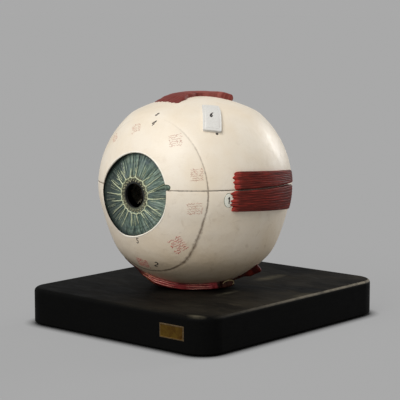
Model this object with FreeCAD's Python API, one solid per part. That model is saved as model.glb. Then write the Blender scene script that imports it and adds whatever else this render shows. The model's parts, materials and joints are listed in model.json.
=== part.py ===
import FreeCAD, Part
import math
import os

# Model of a right human eye, about six times life size, on a lacquered wooden base.
# Millimetres. The origin is the middle of the base's underside and +Z is up. The eye looks along -Y,
# and its nasal side is +X. The inner parts are drawn about the middle of the ball and then moved there.

os.makedirs("parts", exist_ok=True)

# base board and its plate
base_width = 178.0
base_depth = 204.0
base_height = 26.0
base_corner = 18.0
base_top_round = 3.0
base_foot_round = 1.0
plate_length = 22.2
plate_height = 10.2
plate_thickness = 1.2
plate_recess = 0.8
plate_inset = 30.1
plate_centre_z = 13.6
plate_bevel = 0.25

# ball: a sphere whose crown is pressed a little flatter
ball_radius = 72.0
crown_radius = 98.0
crown_height = 66.7
ball_forward = 10.8
ball_gap = 2.6
parting_rise = 4.8
seam_angle = 48.6
window_radius = 30.4

# layers of the wall, from the outside in
sclera_wall = 6.0
choroid_wall = 1.5
retina_wall = 1.2
layer_gap = 0.1

# ring behind the seam that carries the lens, and the inner parts
ring_length = 6.9
ring_bore_radius = 29.0
ring_tail_radius = 40.0
ring_tail_length = 4.0
vitreous_nose_gap = 1.4
inner_clearance = 0.4
lens_radius = 27.0
lens_front_curve = 60.0
lens_rear_curve = 36.0
lens_edge = 2.0
lens_gap = 1.2
lens_seat_gap = 0.3
iris_radius = 33.0
iris_thickness = 2.5
iris_recess = 4.1
iris_dome_rise = 4.2
pupil_radius = 9.4
lug_reach = 34.3
lug_height = 4.2
lug_depth = 5.0
lug_round = 1.8

# muscles and tendon: angle of the front edge from the line of sight, angle round that line,
# turn away from straight back, length and width on the ball, and thickness
superior_rectus_front = 68.5
superior_rectus_round = 96.0
superior_rectus_turn = -14.0
superior_rectus_length = 58.0
superior_rectus_width = 26.5
superior_rectus_thickness = 3.2
oblique_tendon_front = 61.4
oblique_tendon_round = 45.0
oblique_tendon_turn = 56.5
oblique_tendon_length = 34.0
oblique_tendon_width = 15.0
oblique_tendon_thickness = 1.8
medial_rectus_front = 62.5
medial_rectus_round = 4.0
medial_rectus_turn = -4.0
medial_rectus_length = 61.0
medial_rectus_width = 29.0
medial_rectus_thickness = 3.6
lateral_rectus_front = 68.0
lateral_rectus_round = 176.0
lateral_rectus_turn = 4.0
lateral_rectus_length = 58.0
lateral_rectus_width = 27.0
lateral_rectus_thickness = 3.4
inferior_rectus_front = 58.5
inferior_rectus_round = -123.7
inferior_rectus_turn = 62.0
inferior_rectus_length = 108.0
inferior_rectus_width = 31.0
inferior_rectus_thickness = 5.4
inferior_oblique_front = 87.0
inferior_oblique_round = -61.0
inferior_oblique_turn = -66.0
inferior_oblique_length = 92.0
inferior_oblique_width = 9.5
inferior_oblique_thickness = 5.0
muscle_gap = 0.4
cutter_margin = 1.0

# optic nerve
nerve_turn = 12.0
nerve_radius = 11.0
nerve_sheath_wall = 2.2
nerve_stub = 12.0
nerve_vessel_radius = 1.3
nerve_vessel_spacing = 4.0

# fixings
parting_pin_radius = 1.5
parting_pin_length = 10.0
cap_pin_radius = 1.2
cap_pin_length = 5.0
pin_clearance = 0.05
parting_pin_angles = (-25.0, 110.0, 205.0)
cap_pin_angle = 45.0
screw_radius = 3.0
screw_head_radius = 5.2
screw_head_height = 3.6
screw_slot = 1.2
screw_clearance = 0.2
washer_radius = 6.5
washer_thickness = 1.2
counterbore_radius = 7.5
counterbore_depth = 8.0
insert_radius = 5.0
insert_length = 5.2
seat_radius = 9.0

# what follows from the sizes above
plate_centre_x = 0.5 * base_width - plate_inset
ball_middle = FreeCAD.Vector(0, -ball_forward, base_height + ball_gap + ball_radius)
origin = FreeCAD.Vector(0, 0, 0)
along_y = FreeCAD.Vector(0, 1, 0)
upwards = FreeCAD.Vector(0, 0, 1)
seam_y = -ball_radius * math.cos(math.radians(seam_angle))
window_y = -math.sqrt(ball_radius ** 2 - window_radius ** 2)
lining_y = seam_y + ring_length
lining_offset = -(sclera_wall + layer_gap)
retina_offset = lining_offset - choroid_wall - layer_gap
inside_offset = retina_offset - retina_wall
big = 3.0 * ball_radius


def save(name, shape, in_ball=True):
    """Write one piece; pieces drawn about the ball's middle are moved to it first."""
    piece = shape.copy()
    if in_ball:
        piece.translate(ball_middle)
    piece.exportStep("parts/" + name + ".step")
    solids = len(piece.Solids)
    print(name, "solids", solids, "volume", round(piece.Volume, 1), "valid", piece.isValid())


def ball(offset):
    """The ball's outer form, grown or shrunk by an offset."""
    sphere = Part.makeSphere(ball_radius + offset)
    crown = Part.makeSphere(crown_radius + offset, FreeCAD.Vector(0, 0, crown_height - crown_radius))
    return sphere.common(crown)


def layer(outer_offset, inner_offset):
    return ball(outer_offset).cut(ball(inner_offset))


def slab(low_y, high_y):
    """Everything between two upright planes across the line of sight."""
    corner = FreeCAD.Vector(-big, low_y, -big)
    return Part.makeBox(2 * big, high_y - low_y, 2 * big, corner)


def above(height):
    return Part.makeBox(2 * big, 2 * big, big, FreeCAD.Vector(-big, -big, height))


def below(height):
    return Part.makeBox(2 * big, 2 * big, big, FreeCAD.Vector(-big, -big, height - big))


def rod(radius, length, start, axis):
    return Part.makeCylinder(radius, length, start, axis)


def turned(points):
    """Turn a closed outline of (radius, y) corners about the line of sight."""
    corners = [FreeCAD.Vector(radius, y, 0) for radius, y in points]
    outline = Part.makePolygon(corners + [corners[0]])
    return Part.Face(outline).revolve(origin, along_y, 360)


def direction(front_angle, round_angle):
    """Unit vector at an angle from the line of sight, and round it from the nasal side."""
    front = math.radians(front_angle)
    around = math.radians(round_angle)
    return FreeCAD.Vector(math.sin(front) * math.cos(around), -math.cos(front),
                          math.sin(front) * math.sin(around))


def strap(front_angle, round_angle, turn, length, width, inner_offset, outer_offset):
    """A strip of constant width that lies on the ball along a great circle."""
    start = direction(front_angle, round_angle)
    straight_back = along_y - start * start.dot(along_y)
    straight_back.normalize()
    sideways = start.cross(straight_back)
    bend = math.radians(turn)
    heading = straight_back * math.cos(bend) + sideways * math.sin(bend)
    axis = start.cross(heading)
    side = axis * (0.5 * width)
    inner = start * (0.7 * ball_radius)
    outer = start * (1.3 * ball_radius)
    outline = Part.makePolygon([inner - side, inner + side, outer + side, outer - side, inner - side])
    sector = Part.Face(outline).revolve(origin, axis, math.degrees(length / ball_radius))
    return layer(outer_offset, inner_offset).common(sector)


def nerve_axis():
    turn = math.radians(nerve_turn)
    return FreeCAD.Vector(math.sin(turn), math.cos(turn), 0)


def nerve_rod(radius, clearance=0.0):
    """A rod along the nerve, from inside the ball's wall to the stub's cut end."""
    start = nerve_axis() * (ball_radius - sclera_wall)
    return rod(radius + clearance, sclera_wall + nerve_stub, start, nerve_axis())


def parting_pin_places():
    middle = ball_radius - 0.5 * sclera_wall
    reach = math.sqrt(middle ** 2 - parting_rise ** 2)
    places = []
    for angle in parting_pin_angles:
        turn = math.radians(angle)
        places.append(FreeCAD.Vector(reach * math.cos(turn), reach * math.sin(turn), parting_rise))
    return places


def parting_pins(clearance=0.0):
    low = upwards * (0.5 * parting_pin_length)
    radius = parting_pin_radius + clearance
    pins = [rod(radius, parting_pin_length, place - low, upwards) for place in parting_pin_places()]
    return Part.makeCompound(pins)


def cap_pins(side, clearance=0.0):
    """Two pins along the line of sight across the seam; side is +1 above and -1 below."""
    middle = ball_radius - 0.5 * sclera_wall
    reach = math.sqrt(middle ** 2 - seam_y ** 2)
    pins = []
    for angle in (cap_pin_angle, 180 - cap_pin_angle):
        turn = math.radians(angle)
        start = FreeCAD.Vector(reach * math.cos(turn), seam_y - 0.5 * cap_pin_length,
                               side * reach * math.sin(turn))
        pins.append(rod(cap_pin_radius + clearance, cap_pin_length, start, along_y))
    return Part.makeCompound(pins)


def base_block():
    block = Part.makeBox(base_width, base_depth, base_height,
                         FreeCAD.Vector(-0.5 * base_width, -0.5 * base_depth, 0))
    uprights = [edge for edge in block.Edges if abs(edge.tangentAt(edge.FirstParameter).z) > 0.9]
    block = block.makeFillet(base_corner, uprights)
    bottom_rim = [edge for edge in block.Edges if edge.BoundBox.ZMax < 0.1 * base_height]
    block = block.makeFillet(base_foot_round, bottom_rim)
    top_rim = [edge for edge in block.Edges if edge.BoundBox.ZMin > 0.9 * base_height]
    block = block.makeFillet(base_top_round, top_rim)
    recess = plate_solid(plate_recess, 0.0)
    through = rod(screw_radius + screw_clearance, base_height, screw_foot(0), upwards)
    counterbore = rod(counterbore_radius, counterbore_depth, screw_foot(0), upwards)
    return block.cut(recess).cut(through).cut(counterbore)


def plate_solid(depth_in, proud):
    """The plate's rectangle, reaching into the front face and standing proud of it."""
    low = FreeCAD.Vector(plate_centre_x - 0.5 * plate_length, -0.5 * base_depth - proud,
                         plate_centre_z - 0.5 * plate_height)
    return Part.makeBox(plate_length, depth_in + proud, plate_height, low)


def name_plate():
    plate = plate_solid(plate_recess, plate_thickness - plate_recess)
    front = [edge for edge in plate.Edges
             if edge.BoundBox.YMax < -0.5 * base_depth - 0.5 * (plate_thickness - plate_recess)]
    return plate.makeChamfer(plate_bevel, front)


def screw_foot(height):
    return FreeCAD.Vector(0, -ball_forward, height)


def screw_tip():
    """Height of the screw's end, just short of the insert's blind end."""
    return ball_middle.z - ball_radius + insert_length - screw_clearance


def base_screw():
    head_top = counterbore_depth - washer_thickness
    head = rod(screw_head_radius, screw_head_height, screw_foot(head_top - screw_head_height), upwards)
    shank = rod(screw_radius, screw_tip() - head_top, screw_foot(head_top), upwards)
    slot = Part.makeBox(2 * screw_head_radius, screw_slot, screw_slot,
                        FreeCAD.Vector(-screw_head_radius, -ball_forward - 0.5 * screw_slot,
                                       head_top - screw_head_height))
    return head.fuse(shank).cut(slot)


def screw_washer():
    low = screw_foot(counterbore_depth - washer_thickness)
    disc = rod(washer_radius, washer_thickness, low, upwards)
    return disc.cut(rod(screw_radius + screw_clearance, washer_thickness, low, upwards))


def insert_hole():
    low = FreeCAD.Vector(0, 0, -ball_radius - ball_gap)
    return rod(insert_radius, ball_gap + insert_length, low, upwards)


def threaded_insert():
    body = insert_hole().common(ball(0))
    bore = rod(screw_radius, ball_gap + insert_length, FreeCAD.Vector(0, 0, -ball_radius - ball_gap),
               upwards)
    return body.cut(bore)


def ball_seat():
    """Turned ring between the board and the ball, round the screw."""
    low = FreeCAD.Vector(0, 0, -ball_radius - ball_gap)
    ring = rod(seat_radius, 2 * ball_gap, low, upwards)
    hole = rod(screw_radius + screw_clearance, 2 * ball_gap, low, upwards)
    return ring.cut(hole).cut(ball(0))


def rear_shell():
    return layer(0, -sclera_wall).common(slab(seam_y, big))


def sclera_lower():
    shell = rear_shell().common(below(parting_rise))
    shell = shell.cut(parting_pins()).cut(cap_pins(-1))
    return shell.cut(insert_hole()).cut(nerve_rod(nerve_radius))


def sclera_upper():
    shell = rear_shell().common(above(parting_rise))
    shell = shell.cut(parting_pins(pin_clearance)).cut(cap_pins(1))
    return shell.cut(nerve_rod(nerve_radius, inner_clearance))


def lining(outer_offset, inner_offset, half):
    return layer(outer_offset, inner_offset).common(slab(lining_y, big)).common(half)


def bore_round(radius):
    """Bore whose mouth, at the parting plane, lets a round part of this radius rise out."""
    return math.hypot(radius + 0.6 * inner_clearance, parting_rise)


def largest_in(bore):
    """Largest round part that rises freely out of the mouth of this bore."""
    return math.sqrt(bore ** 2 - parting_rise ** 2) - inner_clearance


def front_cap():
    cap = layer(0, -sclera_wall).common(slab(-big, seam_y))
    window = rod(window_radius, big, FreeCAD.Vector(0, -big, 0), along_y)
    rebate = rod(bore_round(iris_radius), big, FreeCAD.Vector(0, iris_front_y() - layer_gap, 0), along_y)
    return cap.cut(window).cut(rebate)


def front_cap_lower():
    return front_cap().common(below(parting_rise)).cut(cap_pins(-1, pin_clearance))


def front_cap_upper():
    cap = front_cap().common(above(parting_rise)).cut(cap_pins(1, pin_clearance))
    return cap.cut(lug_notch())


def iris_front_y():
    """Front of the iris disc's flat rim."""
    return window_y + iris_recess


def iris_back_y():
    return iris_front_y() + iris_thickness


def iris_lug():
    """Small rounded tab above the parting plane; it rests on the lower cap's edge."""
    bar = Part.makeBox(lug_reach, lug_depth, lug_height,
                       FreeCAD.Vector(0, iris_back_y() - lug_depth, parting_rise))
    end = [edge for edge in bar.Edges if edge.BoundBox.XMin > 0.9 * lug_reach]
    rounded = [edge for edge in end if edge.BoundBox.ZMax > parting_rise + 0.5 * lug_height]
    return bar.makeFillet(lug_round, rounded)


def lug_notch():
    """Slot in the upper cap round the tab, open to the front and below."""
    return Part.makeBox(lug_reach + inner_clearance, big, lug_height + inner_clearance + parting_rise,
                        FreeCAD.Vector(0, iris_back_y() + inner_clearance - big, 0))


def iris_disc():
    """Shallow dome with a flat rim, a pupil and the lug."""
    foot = largest_in(window_radius)
    front = iris_front_y()
    middle = front + (foot ** 2 - pupil_radius ** 2 - iris_dome_rise ** 2) / (2 * iris_dome_rise)
    radius = math.hypot(foot, middle - front)
    centre = FreeCAD.Vector(0, middle, 0)
    dome = Part.makeSphere(radius, centre).cut(Part.makeSphere(radius - iris_thickness, centre))
    dome = dome.common(slab(-big, iris_back_y()))
    rim = rod(iris_radius, iris_thickness, FreeCAD.Vector(0, front, 0), along_y)
    rim = rim.cut(Part.makeSphere(radius - iris_thickness, centre))
    inside = rod(foot, big, FreeCAD.Vector(0, -big, 0), along_y)
    pupil = rod(pupil_radius, 2 * big, FreeCAD.Vector(0, -big, 0), along_y)
    return rim.fuse(dome.common(inside)).fuse(iris_lug().cut(inside)).removeSplitter().cut(pupil)


def lens_front_y():
    """Front pole of the lens, clear of the iris disc's rim when one is lifted past the other."""
    return iris_back_y() + lens_gap


def sagitta(curve, radius):
    return curve - math.sqrt(curve ** 2 - radius ** 2)


def lens_rim_y():
    return lens_front_y() + sagitta(lens_front_curve, lens_radius)


def lens_rear_y():
    return lens_rim_y() + lens_edge + sagitta(lens_rear_curve, lens_radius)


def lens():
    front = Part.makeSphere(lens_front_curve, FreeCAD.Vector(0, lens_front_y() + lens_front_curve, 0))
    rear = Part.makeSphere(lens_rear_curve, FreeCAD.Vector(0, lens_rear_y() - lens_rear_curve, 0))
    barrel = rod(lens_radius, big, FreeCAD.Vector(0, lens_front_y(), 0), along_y)
    return front.common(rear).common(barrel)


def ciliary_ring():
    """Ring behind the seam, bored for the lens and flared behind."""
    front = seam_y + layer_gap
    outline = [
        (ring_bore_radius, front),
        (big, front),
        (big, lining_y - layer_gap),
        (ring_tail_radius, lining_y - layer_gap),
        (ring_bore_radius, lining_y - ring_tail_length),
    ]
    return ball(lining_offset).common(turned(outline))


def vitreous_body():
    """Clear ball, truncated behind the ring, with a nose through it and a hollow for the lens."""
    radius = largest_in(ball_radius + inside_offset)
    tail = largest_in(ring_tail_radius)
    nose = largest_in(ring_bore_radius)
    outline = [
        (0, seam_y + vitreous_nose_gap),
        (nose, seam_y + vitreous_nose_gap),
        (nose, lining_y - ring_tail_length + inner_clearance),
        (tail, lining_y + inner_clearance),
        (tail, lining_y + ring_tail_length),
        (0, lining_y + ring_tail_length),
    ]
    body = Part.makeSphere(radius).common(slab(lining_y + inner_clearance, big)).fuse(turned(outline))
    crown = ball(inside_offset - inner_clearance)
    seat = Part.makeSphere(lens_rear_curve + lens_seat_gap, FreeCAD.Vector(0, lens_rear_y() - lens_rear_curve, 0))
    return body.common(crown).cut(seat)


def medial_rectus():
    return strap(medial_rectus_front, medial_rectus_round, medial_rectus_turn, medial_rectus_length,
                 medial_rectus_width, 0, medial_rectus_thickness)


def lateral_rectus():
    return strap(lateral_rectus_front, lateral_rectus_round, lateral_rectus_turn, lateral_rectus_length,
                 lateral_rectus_width, 0, lateral_rectus_thickness)


def superior_rectus():
    return strap(superior_rectus_front, superior_rectus_round, superior_rectus_turn,
                 superior_rectus_length, superior_rectus_width, 0, superior_rectus_thickness)


def superior_oblique_tendon():
    tendon = strap(oblique_tendon_front, oblique_tendon_round, oblique_tendon_turn,
                   oblique_tendon_length, oblique_tendon_width, 0, oblique_tendon_thickness)
    return tendon.cut(superior_rectus())


def board_plane():
    """Height of the board's top, seen from the ball's middle."""
    return -ball_radius - ball_gap


def inferior_rectus():
    muscle = strap(inferior_rectus_front, inferior_rectus_round, inferior_rectus_turn,
                   inferior_rectus_length, inferior_rectus_width, 0, inferior_rectus_thickness)
    seat_hole = rod(seat_radius, big, FreeCAD.Vector(0, 0, -big), upwards)
    return muscle.common(above(board_plane())).cut(seat_hole)


def inferior_oblique():
    """Strap that runs under the inferior rectus, so it shows as one stub on each side of it."""
    muscle = strap(inferior_oblique_front, inferior_oblique_round, inferior_oblique_turn,
                   inferior_oblique_length, inferior_oblique_width, 0, inferior_oblique_thickness)
    way = strap(inferior_rectus_front, inferior_rectus_round, inferior_rectus_turn,
                inferior_rectus_length, inferior_rectus_width + 2 * muscle_gap, -cutter_margin,
                inferior_rectus_thickness + cutter_margin)
    seat_hole = rod(seat_radius, big, FreeCAD.Vector(0, 0, -big), upwards)
    return muscle.common(above(board_plane())).cut(way).cut(seat_hole)


def optic_nerve():
    sheath = nerve_rod(nerve_radius).cut(ball(-sclera_wall))
    core = nerve_rod(nerve_radius - nerve_sheath_wall).cut(ball(-sclera_wall))
    vessels = []
    for side in (-0.5, 0.5):
        vessel = rod(nerve_vessel_radius, sclera_wall + nerve_stub,
                     nerve_axis() * (ball_radius - sclera_wall) + upwards * (side * nerve_vessel_spacing),
                     nerve_axis())
        vessels.append(vessel.cut(ball(-sclera_wall)))
    vessels = Part.makeCompound(vessels)
    return sheath.cut(core), core.cut(vessels), vessels


save("base_block", base_block(), False)
save("name_plate", name_plate(), False)
save("base_screw", base_screw(), False)
save("screw_washer", screw_washer(), False)
save("threaded_insert", threaded_insert())
save("ball_seat", ball_seat())
save("sclera_lower", sclera_lower())
save("sclera_upper", sclera_upper())
save("front_cap_lower", front_cap_lower())
save("front_cap_upper", front_cap_upper())
for name, half in (("lower", below(parting_rise)), ("upper", above(parting_rise))):
    save("choroid_" + name, lining(lining_offset, lining_offset - choroid_wall, half))
    save("retina_" + name, lining(retina_offset, inside_offset, half))
    save("ciliary_ring_" + name, ciliary_ring().common(half))
save("iris_disc", iris_disc())
save("lens", lens())
save("vitreous_body", vitreous_body())
for name, muscle in (("medial_rectus_", medial_rectus()), ("lateral_rectus_", lateral_rectus())):
    save(name + "lower", muscle.common(below(parting_rise - 0.5 * muscle_gap)))
    save(name + "upper", muscle.common(above(parting_rise + 0.5 * muscle_gap)))
save("superior_rectus", superior_rectus())
save("superior_oblique_tendon", superior_oblique_tendon())
save("inferior_rectus", inferior_rectus())
save("inferior_oblique", inferior_oblique())
nerve_sheath, nerve_core, nerve_vessels = optic_nerve()
save("optic_nerve_sheath", nerve_sheath)
save("optic_nerve_core", nerve_core)
save("nerve_vessels", nerve_vessels)
save("parting_pins", parting_pins())
save("cap_pins_lower", cap_pins(-1))
save("cap_pins_upper", cap_pins(1))
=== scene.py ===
import json
import math

import bmesh
import bpy
import numpy as np
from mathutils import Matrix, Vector

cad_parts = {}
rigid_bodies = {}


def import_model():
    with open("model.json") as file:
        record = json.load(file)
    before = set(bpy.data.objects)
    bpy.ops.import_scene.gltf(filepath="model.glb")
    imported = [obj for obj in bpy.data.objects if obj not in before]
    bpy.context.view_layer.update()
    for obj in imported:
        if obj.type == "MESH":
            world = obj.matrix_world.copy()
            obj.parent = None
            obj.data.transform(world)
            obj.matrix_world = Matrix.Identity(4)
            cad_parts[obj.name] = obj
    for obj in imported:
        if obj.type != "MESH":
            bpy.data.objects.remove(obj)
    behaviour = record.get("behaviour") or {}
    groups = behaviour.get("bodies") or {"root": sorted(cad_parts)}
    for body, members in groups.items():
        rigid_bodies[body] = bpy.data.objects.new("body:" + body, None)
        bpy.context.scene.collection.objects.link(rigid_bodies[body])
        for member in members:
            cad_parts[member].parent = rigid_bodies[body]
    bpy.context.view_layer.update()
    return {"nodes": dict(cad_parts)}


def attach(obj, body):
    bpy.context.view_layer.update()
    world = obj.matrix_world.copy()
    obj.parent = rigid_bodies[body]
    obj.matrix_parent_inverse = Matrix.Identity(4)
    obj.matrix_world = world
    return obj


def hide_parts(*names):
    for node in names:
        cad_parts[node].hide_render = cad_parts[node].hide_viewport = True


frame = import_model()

# Lengths are in millimetres, drawn about the middle of the ball, and turned into metres in place.
# The eye looks along -Y, its nasal side is +X.
mm = 0.001
ballMiddle = np.array([0.0, -10.8, 100.6])
fullTurn = 2 * math.pi
baseHalf, upperHalf = "base_and_lower_half", "upper_half"
nodes = frame["nodes"]
print("frame loaded:", len(nodes), "pieces")


def place(name, data):
    # a new object in the scene
    thing = bpy.data.objects.new(name, data)
    bpy.context.scene.collection.objects.link(thing)
    return thing


# camera

camera = {"place": (0.7181, -0.8259, 0.2328), "turn": 41.1937, "tilt": 7.5021, "lens": 132.4}


def addCamera():
    data = bpy.data.cameras.new("camera")
    data.lens = camera["lens"]
    data.sensor_width = 36
    data.clip_end = 100
    view = place("camera", data)
    view.location = camera["place"]
    view.rotation_euler = (math.radians(90 - camera["tilt"]), 0, math.radians(camera["turn"]))
    bpy.context.scene.camera = view


addCamera()
bpy.context.scene.view_settings.view_transform = "Standard"


# small tools for materials; near is any node or socket of the material that gets the new node

def rgb(*levels):
    # a colour as it looks on a screen, 0 to 255, as the shader wants it
    shares = [level / 255 for level in levels]
    return (*(share / 12.92 if share <= 0.04045 else ((share + 0.055) / 1.055) ** 2.4 for share in shares), 1)


def wire(node, values):
    # gives each named socket its plain value or its incoming link
    for key, value in dict(values).items():
        if isinstance(value, bpy.types.NodeSocket):
            node.id_data.links.new(value, node.inputs[key])
        else:
            node.inputs[key].default_value = value


def put(near, kind, values=(), **settings):
    node = near.id_data.nodes.new("ShaderNode" + kind)
    for key, value in settings.items():
        setattr(node, key, value)
    wire(node, values)
    return node


def startMaterial(name):
    material = bpy.data.materials.new(name)
    material.use_nodes = True
    return material, material.node_tree.nodes["Principled BSDF"]


def axes(vector):
    return put(vector, "SeparateXYZ", {"Vector": vector}).outputs


def places(near, scale=(1, 1, 1)):
    # object coordinates in millimetres, stretched
    coords = put(near, "TexCoord").outputs["Object"]
    stretch = tuple(1000 * value for value in scale)
    return put(near, "Mapping", {"Vector": coords, "Scale": stretch}).outputs["Vector"]


def noise(vector, size, detail=4, rough=0.55, twist=0.0, result="Fac"):
    # soft noise whose blotches are about size millimetres wide
    values = {"Vector": vector, "Scale": 1 / size, "Detail": detail, "Roughness": rough, "Distortion": twist}
    return put(vector, "TexNoise", values).outputs[result]


def ramp(factor, stops):
    node = put(factor, "ValToRGB", {"Fac": factor})
    band = node.color_ramp
    while len(band.elements) < len(stops):
        band.elements.new(0.5)
    for element, (spot, colour) in zip(band.elements, stops):
        element.position = spot
        element.color = colour
    return node.outputs["Color"]


def spread(value, low, high, newLow=0.0, newHigh=1.0):
    values = {"Value": value, "From Min": low, "From Max": high, "To Min": newLow, "To Max": newHigh}
    return put(value, "MapRange", values, clamp=True).outputs["Result"]


def maths(operation, first, second=0.0):
    return put(first, "Math", {0: first, 1: second}, operation=operation).outputs[0]


def plus(first, second):
    return maths("ADD", first, second)


def times(first, second):
    return maths("MULTIPLY", first, second)


def vectorMaths(operation, first, second=(0, 0, 0), result="Vector"):
    return put(first, "VectorMath", {0: first, 1: second}, operation=operation).outputs[result]


def mix(factor, first, second, blend="MIX"):
    near = next(value for value in (factor, first, second) if isinstance(value, bpy.types.NodeSocket))
    return put(near, "Mix", {0: factor, 6: first, 7: second}, data_type="RGBA", blend_type=blend).outputs[2]


def bump(shader, height, depth, under=None):
    # depth in millimetres
    values = {"Height": height, "Strength": 1.0, "Distance": depth * mm}
    if under is not None:
        values["Normal"] = under
    normal = put(shader, "Bump", values).outputs["Normal"]
    wire(shader, {"Normal": normal})
    return normal


def dress(shader, colour, rough, relief, depth, specular=0.5, under=None):
    # what every paint has, with its fine relief last
    wire(shader, {"Base Color": colour, "Roughness": rough, "Specular IOR Level": specular})
    bump(shader, relief, depth, under)


def scleraPaint(name, fresh, aged):
    # ivory paint, a little blotched, with grime and painted shade close to the joints
    look = {"blotch": 26.0, "speckle": 0.9, "stain": 7.0, "gloss": 0.42,
            "jointGrimeAndShadeWidth": 1.02, "jointGrimeAndShadeStrength": 0.74, "seamY": 58.4, "partingZ": 105.4}
    material, shader = startMaterial(name)
    where = places(shader)
    parts = axes(where)
    height = parts["Z"]
    colour = mix(spread(noise(where, look["blotch"], 3), 0.35, 0.7), fresh, aged)
    speckles = noise(where, look["speckle"], 5, 0.7)
    colour = mix(spread(speckles, 0.2, 0.8, 0.0, 0.10), colour, rgb(186, 164, 132), "MULTIPLY")
    stains = noise(where, look["stain"], 6, 0.65, 0.6)
    stainShare = times(spread(stains, 0.56, 0.80), spread(height, 150.0, 55.0, 0.12, 0.42))
    colour = mix(stainShare, colour, rgb(168, 140, 104))
    # darker towards the bottom: partly ageing, partly painted shade on the lower half of the ball
    colour = mix(spread(height, 88.0, 32.0, 0.0, 0.54), colour, rgb(208, 185, 147), "MULTIPLY")
    # grime and painted shade in the round seam and in the level parting line, wider low down where the joints
    # lie in shade and gone near the top where they are lit
    seam = maths("ABSOLUTE", plus(parts["Y"], look["seamY"]))
    level = maths("ABSOLUTE", maths("SUBTRACT", height, look["partingZ"]))
    nearest = times(maths("MINIMUM", seam, level), spread(height, 112.0, 76.0, 1.0, 0.45))
    ragged = plus(nearest, times(noise(where, 2.2, 3), 0.9))
    jointGrimeAndShade = spread(ragged, look["jointGrimeAndShadeWidth"], 0.45, 0.0, look["jointGrimeAndShadeStrength"])
    colour = mix(times(jointGrimeAndShade, spread(height, 154.0, 112.0)), colour, rgb(92, 68, 46))
    rough = spread(stains, 0.3, 0.8, look["gloss"] - 0.07, look["gloss"] + 0.12)
    waves = bump(shader, noise(where, 9.0, 2), 0.35)
    dress(shader, colour, rough, noise(where, 0.55, 5, 0.6), 0.035, 0.45, waves)
    return material


def wallShadePaint():
    # nearly black green with brush marks: painted shade on the window's inner wall
    material, shader = startMaterial("window_wall_painted_shade")
    brush = noise(places(shader, (0.3, 1, 0.3)), 1.2, 5)
    colour = ramp(brush, [(0.3, rgb(16, 20, 18)), (0.75, rgb(38, 44, 38))])
    dress(shader, colour, spread(noise(places(shader), 1.5), 0.2, 0.8, 0.4, 0.6), brush, 0.08)
    return material


def musclePaint(name, deep, warm, bright, frontLength, fibre=0.75, tipShade=0.0):
    # painted muscle: long fibres along the strap, bright strands at the front end
    # the map's first value runs along the strap and its second across, both in millimetres
    look = {"streak": 0.6, "patch": 2.3, "gloss": 0.52, "relief": 0.22}
    material, shader = startMaterial(name)
    coords = put(shader, "TexCoord").outputs["UV"]
    along = axes(coords)["X"]
    stretched = put(coords, "Mapping", {"Vector": coords, "Scale": (0.07, 1.0, 1.0)}).outputs["Vector"]
    fibres = noise(stretched, fibre, 4, 0.6, 0.25)
    base = ramp(fibres, [(0.30, deep), (0.52, warm), (0.76, bright)])
    colour = mix(spread(noise(stretched, 3.2, 3, 0.5), 0.35, 0.7, 0.0, look["streak"]), base, deep)
    # the front end is redder and patchy
    ragged = plus(along, times(noise(coords, look["patch"], 4, 0.6, 0.4), 7.0))
    front = spread(ragged, frontLength + 3.5, frontLength, 0.0, 0.85)
    colour = mix(times(front, spread(fibres, 0.35, 0.6)), colour, bright)
    colour = mix(spread(along, 8.0, 34.0, tipShade, 0.0), colour, deep)
    rough = spread(fibres, 0.2, 0.8, look["gloss"] - 0.1, look["gloss"] + 0.16)
    dress(shader, colour, rough, fibres, look["relief"], 0.10)
    return material


def inferiorPaint():
    # painted shade at the thin tip, then yellow and pink strands, then dark brown again beside the cut
    # oblique, partly its colour and partly painted shade
    look = {"strand": 1.0, "patch": 5.0, "gloss": 0.5, "relief": 0.4}
    material, shader = startMaterial("inferior_muscle_paint")
    coords = put(shader, "TexCoord").outputs["UV"]
    parts = axes(coords)
    # the strands also run along the upright side of the strap
    slow, height = times(parts["X"], 0.05), axes(places(shader))["Z"]
    stretched = put(coords, "CombineXYZ", {"X": slow, "Y": parts["Y"], "Z": height}).outputs["Vector"]
    strands = noise(stretched, look["strand"], 4, 0.6, 0.2)
    patch = noise(coords, look["patch"], 3, 0.5, 0.5)
    along = plus(parts["X"], times(patch, 5.0))
    gold = ramp(strands, [(0.40, rgb(104, 36, 30)), (0.52, rgb(158, 70, 46)), (0.62, rgb(206, 150, 84))])
    red = ramp(strands, [(0.38, rgb(88, 24, 28)), (0.50, rgb(142, 46, 49)), (0.62, rgb(178, 74, 72))])
    brownAndShade = ramp(strands, [(0.38, rgb(34, 20, 16)), (0.52, rgb(74, 38, 30)), (0.66, rgb(128, 84, 62))])
    rear = ramp(patch, [(0.40, rgb(70, 22, 20)), (0.60, rgb(120, 42, 32))])
    # painted shade: the thin front tip is dark red brown where it lies in shade along the ball's outline
    colour = mix(spread(along, 19.0, 25.0, 0.0, 0.7), rgb(74, 28, 26), gold)
    colour = mix(spread(along, 25.0, 34.0), colour, red)
    pink = times(spread(along, 67.0, 70.0), spread(patch, 0.40, 0.55))
    colour = mix(times(pink, 0.7), colour, rgb(186, 70, 82))
    # dark brown beside the cut oblique: partly the strap's colour, partly painted shade under the ball
    colour = mix(spread(along, 73.0, 75.5), colour, brownAndShade)
    colour = mix(spread(along, 90.0, 95.0), colour, rear)
    rough = spread(strands, 0.2, 0.8, look["gloss"] - 0.1, look["gloss"] + 0.15)
    dress(shader, colour, rough, strands, look["relief"], 0.15)
    return material


def linePaint(name, light, dark, gloss=0.45, grain=0.025):
    # paint of thin lines and small pieces, slightly uneven
    material, shader = startMaterial(name)
    where = places(shader)
    uneven = noise(where, 1.1)
    rough = spread(uneven, 0.3, 0.7, gloss - 0.04, gloss + 0.08)
    dress(shader, ramp(uneven, [(0.3, dark), (0.7, light)]), rough, noise(where, 0.6, 3), grain)
    return material


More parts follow.
